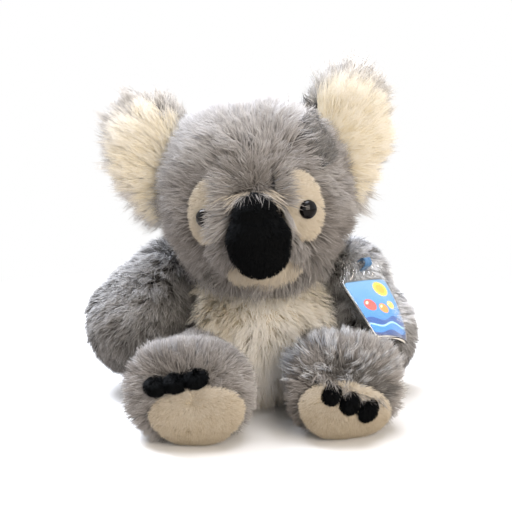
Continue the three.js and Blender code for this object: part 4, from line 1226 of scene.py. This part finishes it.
weft = add(tree, "TexWave", {"Vector": place, "Scale": 30.0, "Distortion": 0.3}, bands_direction="Y")
bump = add(tree, "Bump", {"Strength": 0.3, "Distance": 0.1 * MM, "Height": weft.outputs[1]})
tree.links.new(bump.outputs[0], shader.inputs["Normal"])

# %% Card, packet and ribbon
card_foot, leaflet_width = -52.2, 33.6
film_width, film_top, film_foot, film_edge = 37.9, 3.5, -54.3, 17.4
ribbon_turn, ribbon_leg, ribbon_half = 2.9, 9.0, 3.0


def sheet_at(width, top, bottom, lift):
    """A rounded rectangle, bent over the arm."""
    return lambda x, y: bent(*rounded(x, y, width, top, bottom), lift)


def pleated(lift):
    """The film: flat over the card, and gathered to the ribbon above it, with pleats that deepen
    towards the slot and a soft puff to each side."""
    puffs, creases = (3.0, 0.35) if lift > 0 else (-0.9, 0.0)

    def surface(x, y):
        """Its height is lift, less at the welded edges, + crease + puff + pleat."""
        px, py = rounded(x, y, film_width, film_top, film_foot)
        gather = np.clip((py + 10.5) / 13, 0, 1)
        crease = 0.5 * np.sin(0.31 * px + 0.23 * py + 0.6) * np.clip((-py - 8) / 10, 0, 1)
        edge = np.clip((np.abs(px) - film_edge) / 1.5, 0, 1)
        puff = puffs * np.exp(-((np.abs(px) - 9) / 5) ** 2) * np.sin(math.pi * gather)
        z = lift * (1 - edge) + creases * crease + puff + 0.9 * np.sin(1.15 * px) * gather
        return bent(px * (1 - 0.2 * gather ** 1.5), py, z)
    return surface


def ribbon_loop(x, y):
    """Out from the arm under the strip, half round it, and back into the arm. Its length is two legs
    and a half circle, and it narrows by a fifth where it bends."""
    total = 2 * ribbon_leg + math.pi * ribbon_turn
    d = y * total
    angle = np.clip((d - ribbon_leg) / ribbon_turn, 0, math.pi) - math.pi / 2
    last_leg = np.where(d > total - ribbon_leg, total - ribbon_leg - d, 0.0)
    straight = np.where(d < ribbon_leg, d - ribbon_leg, last_leg)
    out = straight + ribbon_turn * np.cos(angle) + 0.8 + 0.25 * np.sin(9 * x + 11 * y)
    half = ribbon_half - 0.6 * np.cos(angle) ** 2
    return set_out(((2 * x - 1) * half, ribbon_turn * np.sin(angle) + 4.0, out), slot_axes)


card_piece = plate("tag_print_card", "tag", printed, sheet_at(card_width, -10.4, card_foot, 0.0), 0.5, 34, 40)
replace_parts(card_piece, "tag_card")
# Two leaves of paper lie behind the card. Each shows a little under its foot and steps aside.
for i, (drop, step) in enumerate(((0.7, -0.25), (1.3, 0.3)), 1):
    leaf = sheet_at(leaflet_width, -10.8, card_foot - drop, -0.55 * i)
    stepped = lambda x, y: leaf(x, y) + step * tag_axes[0]
    under = plate(f"tag_leaflet_{i}", "tag", leaflet, stepped, 0.22, 24, 30)
front_film = plate("tag_film_front", "tag", film, pleated(0.8), 0.12, 60, 70)
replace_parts(front_film, "tag_packet")
plate("tag_film_back", "tag", film, pleated(-1.5), 0.12, 60, 70)
ribbon = plate("tag_ribbon_loop", "arm_left", satin, ribbon_loop, 0.3, 8, 48)
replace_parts(ribbon, "tag_ribbon")
print("tag, packet and ribbon")

# %% [markdown]
# ## Light, floor and backdrop
# A large soft window light from behind on the toy's right, one overhead, a weaker panel in front, and
# an even dome of light, as in a plain studio. The floor is white card. What the camera sees of the
# dome is pure white, and the floor fades to it, so that the toy stands on nothing but its shadow.

# %% Studio
centre = (0.0, 0.03, 0.11)
for name, place, size, watts, colour in (("window", (-0.5, 0.45, 0.95), 0.7, 31.0, "#eef3ff"),
                                         ("overhead", (0.15, -0.05, 1.3), 0.7, 12.0, "#f4f6ff"),
                                         ("front_panel", (0.5, -0.95, 0.5), 0.8, 10.0, "#fff1e0")):
    lamp = bpy.data.lights.new(name, "AREA")
    lamp.size, lamp.energy, lamp.color = size, watts, dye(colour)[:3]
    light = bpy.data.objects.new(name, lamp)
    light.location = place
    light.rotation_euler = (Vector(centre) - Vector(place)).to_track_quat("-Z", "Y").to_euler()
    bpy.context.scene.collection.objects.link(light)

world = bpy.data.worlds.new("even_dome")
world.use_nodes = True
tree = world.node_tree
dome = tree.nodes["Background"]
dome.inputs["Color"].default_value, dome.inputs["Strength"].default_value = dye("#fdf6ee"), 0.52
card = add(tree, "Background", {"Color": "#ffffff", "Strength": 1.0})
rays = add(tree, "LightPath", {}).outputs
seen = add(tree, "Math", {0: rays["Is Camera Ray"], 1: rays["Is Transmission Ray"]}, operation="MAXIMUM")
seen = add(tree, "Math", {0: seen, 1: rays["Is Glossy Ray"]}, operation="MAXIMUM")
backdrop = add(tree, "MixShader", {0: seen, 1: dome, 2: card})
tree.links.new(backdrop.outputs[0], tree.nodes["World Output"].inputs["Surface"])
bpy.context.scene.world = world
bpy.context.scene.view_settings.view_transform = "Standard"

white_card, tree, shader = principled("matt_card_white", Base_Color="#fbfbfa", Roughness=0.9)
away = add(tree, "VectorMath", {0: add(tree, "TexCoord", {}).outputs["Object"]}, operation="LENGTH")
fade = add(tree, "MapRange", {0: away.outputs["Value"], 1: 0.2, 2: 0.42}, interpolation_type="SMOOTHSTEP")
camera_ray = add(tree, "LightPath", {}).outputs["Is Camera Ray"]
seen = add(tree, "Math", {0: fade, 1: camera_ray}, operation="MULTIPLY")
paper = add(tree, "Mix", {0: camera_ray, 6: "#a8a19a", 7: "#fbfbfa"}, data_type="RGBA").outputs[2]
tree.links.new(paper, shader.inputs["Base Color"])
glow = add(tree, "Emission", {"Color": "#ffffff", "Strength": 1.0})
mix = add(tree, "MixShader", {0: seen, 1: shader, 2: glow})
tree.links.new(mix.outputs[0], tree.nodes["Material Output"].inputs["Surface"])
floor_mesh = bpy.data.meshes.new("floor")
floor_mesh.from_pydata([(-3, -3, 0), (3, -3, 0), (3, 3, 0), (-3, 3, 0)], [], [(0, 1, 2, 3)])
floor_mesh.materials.append(white_card)
floor = bpy.data.objects.new("floor", floor_mesh)
bpy.context.scene.collection.objects.link(floor)
print("studio: 3 lamps, dome and floor")
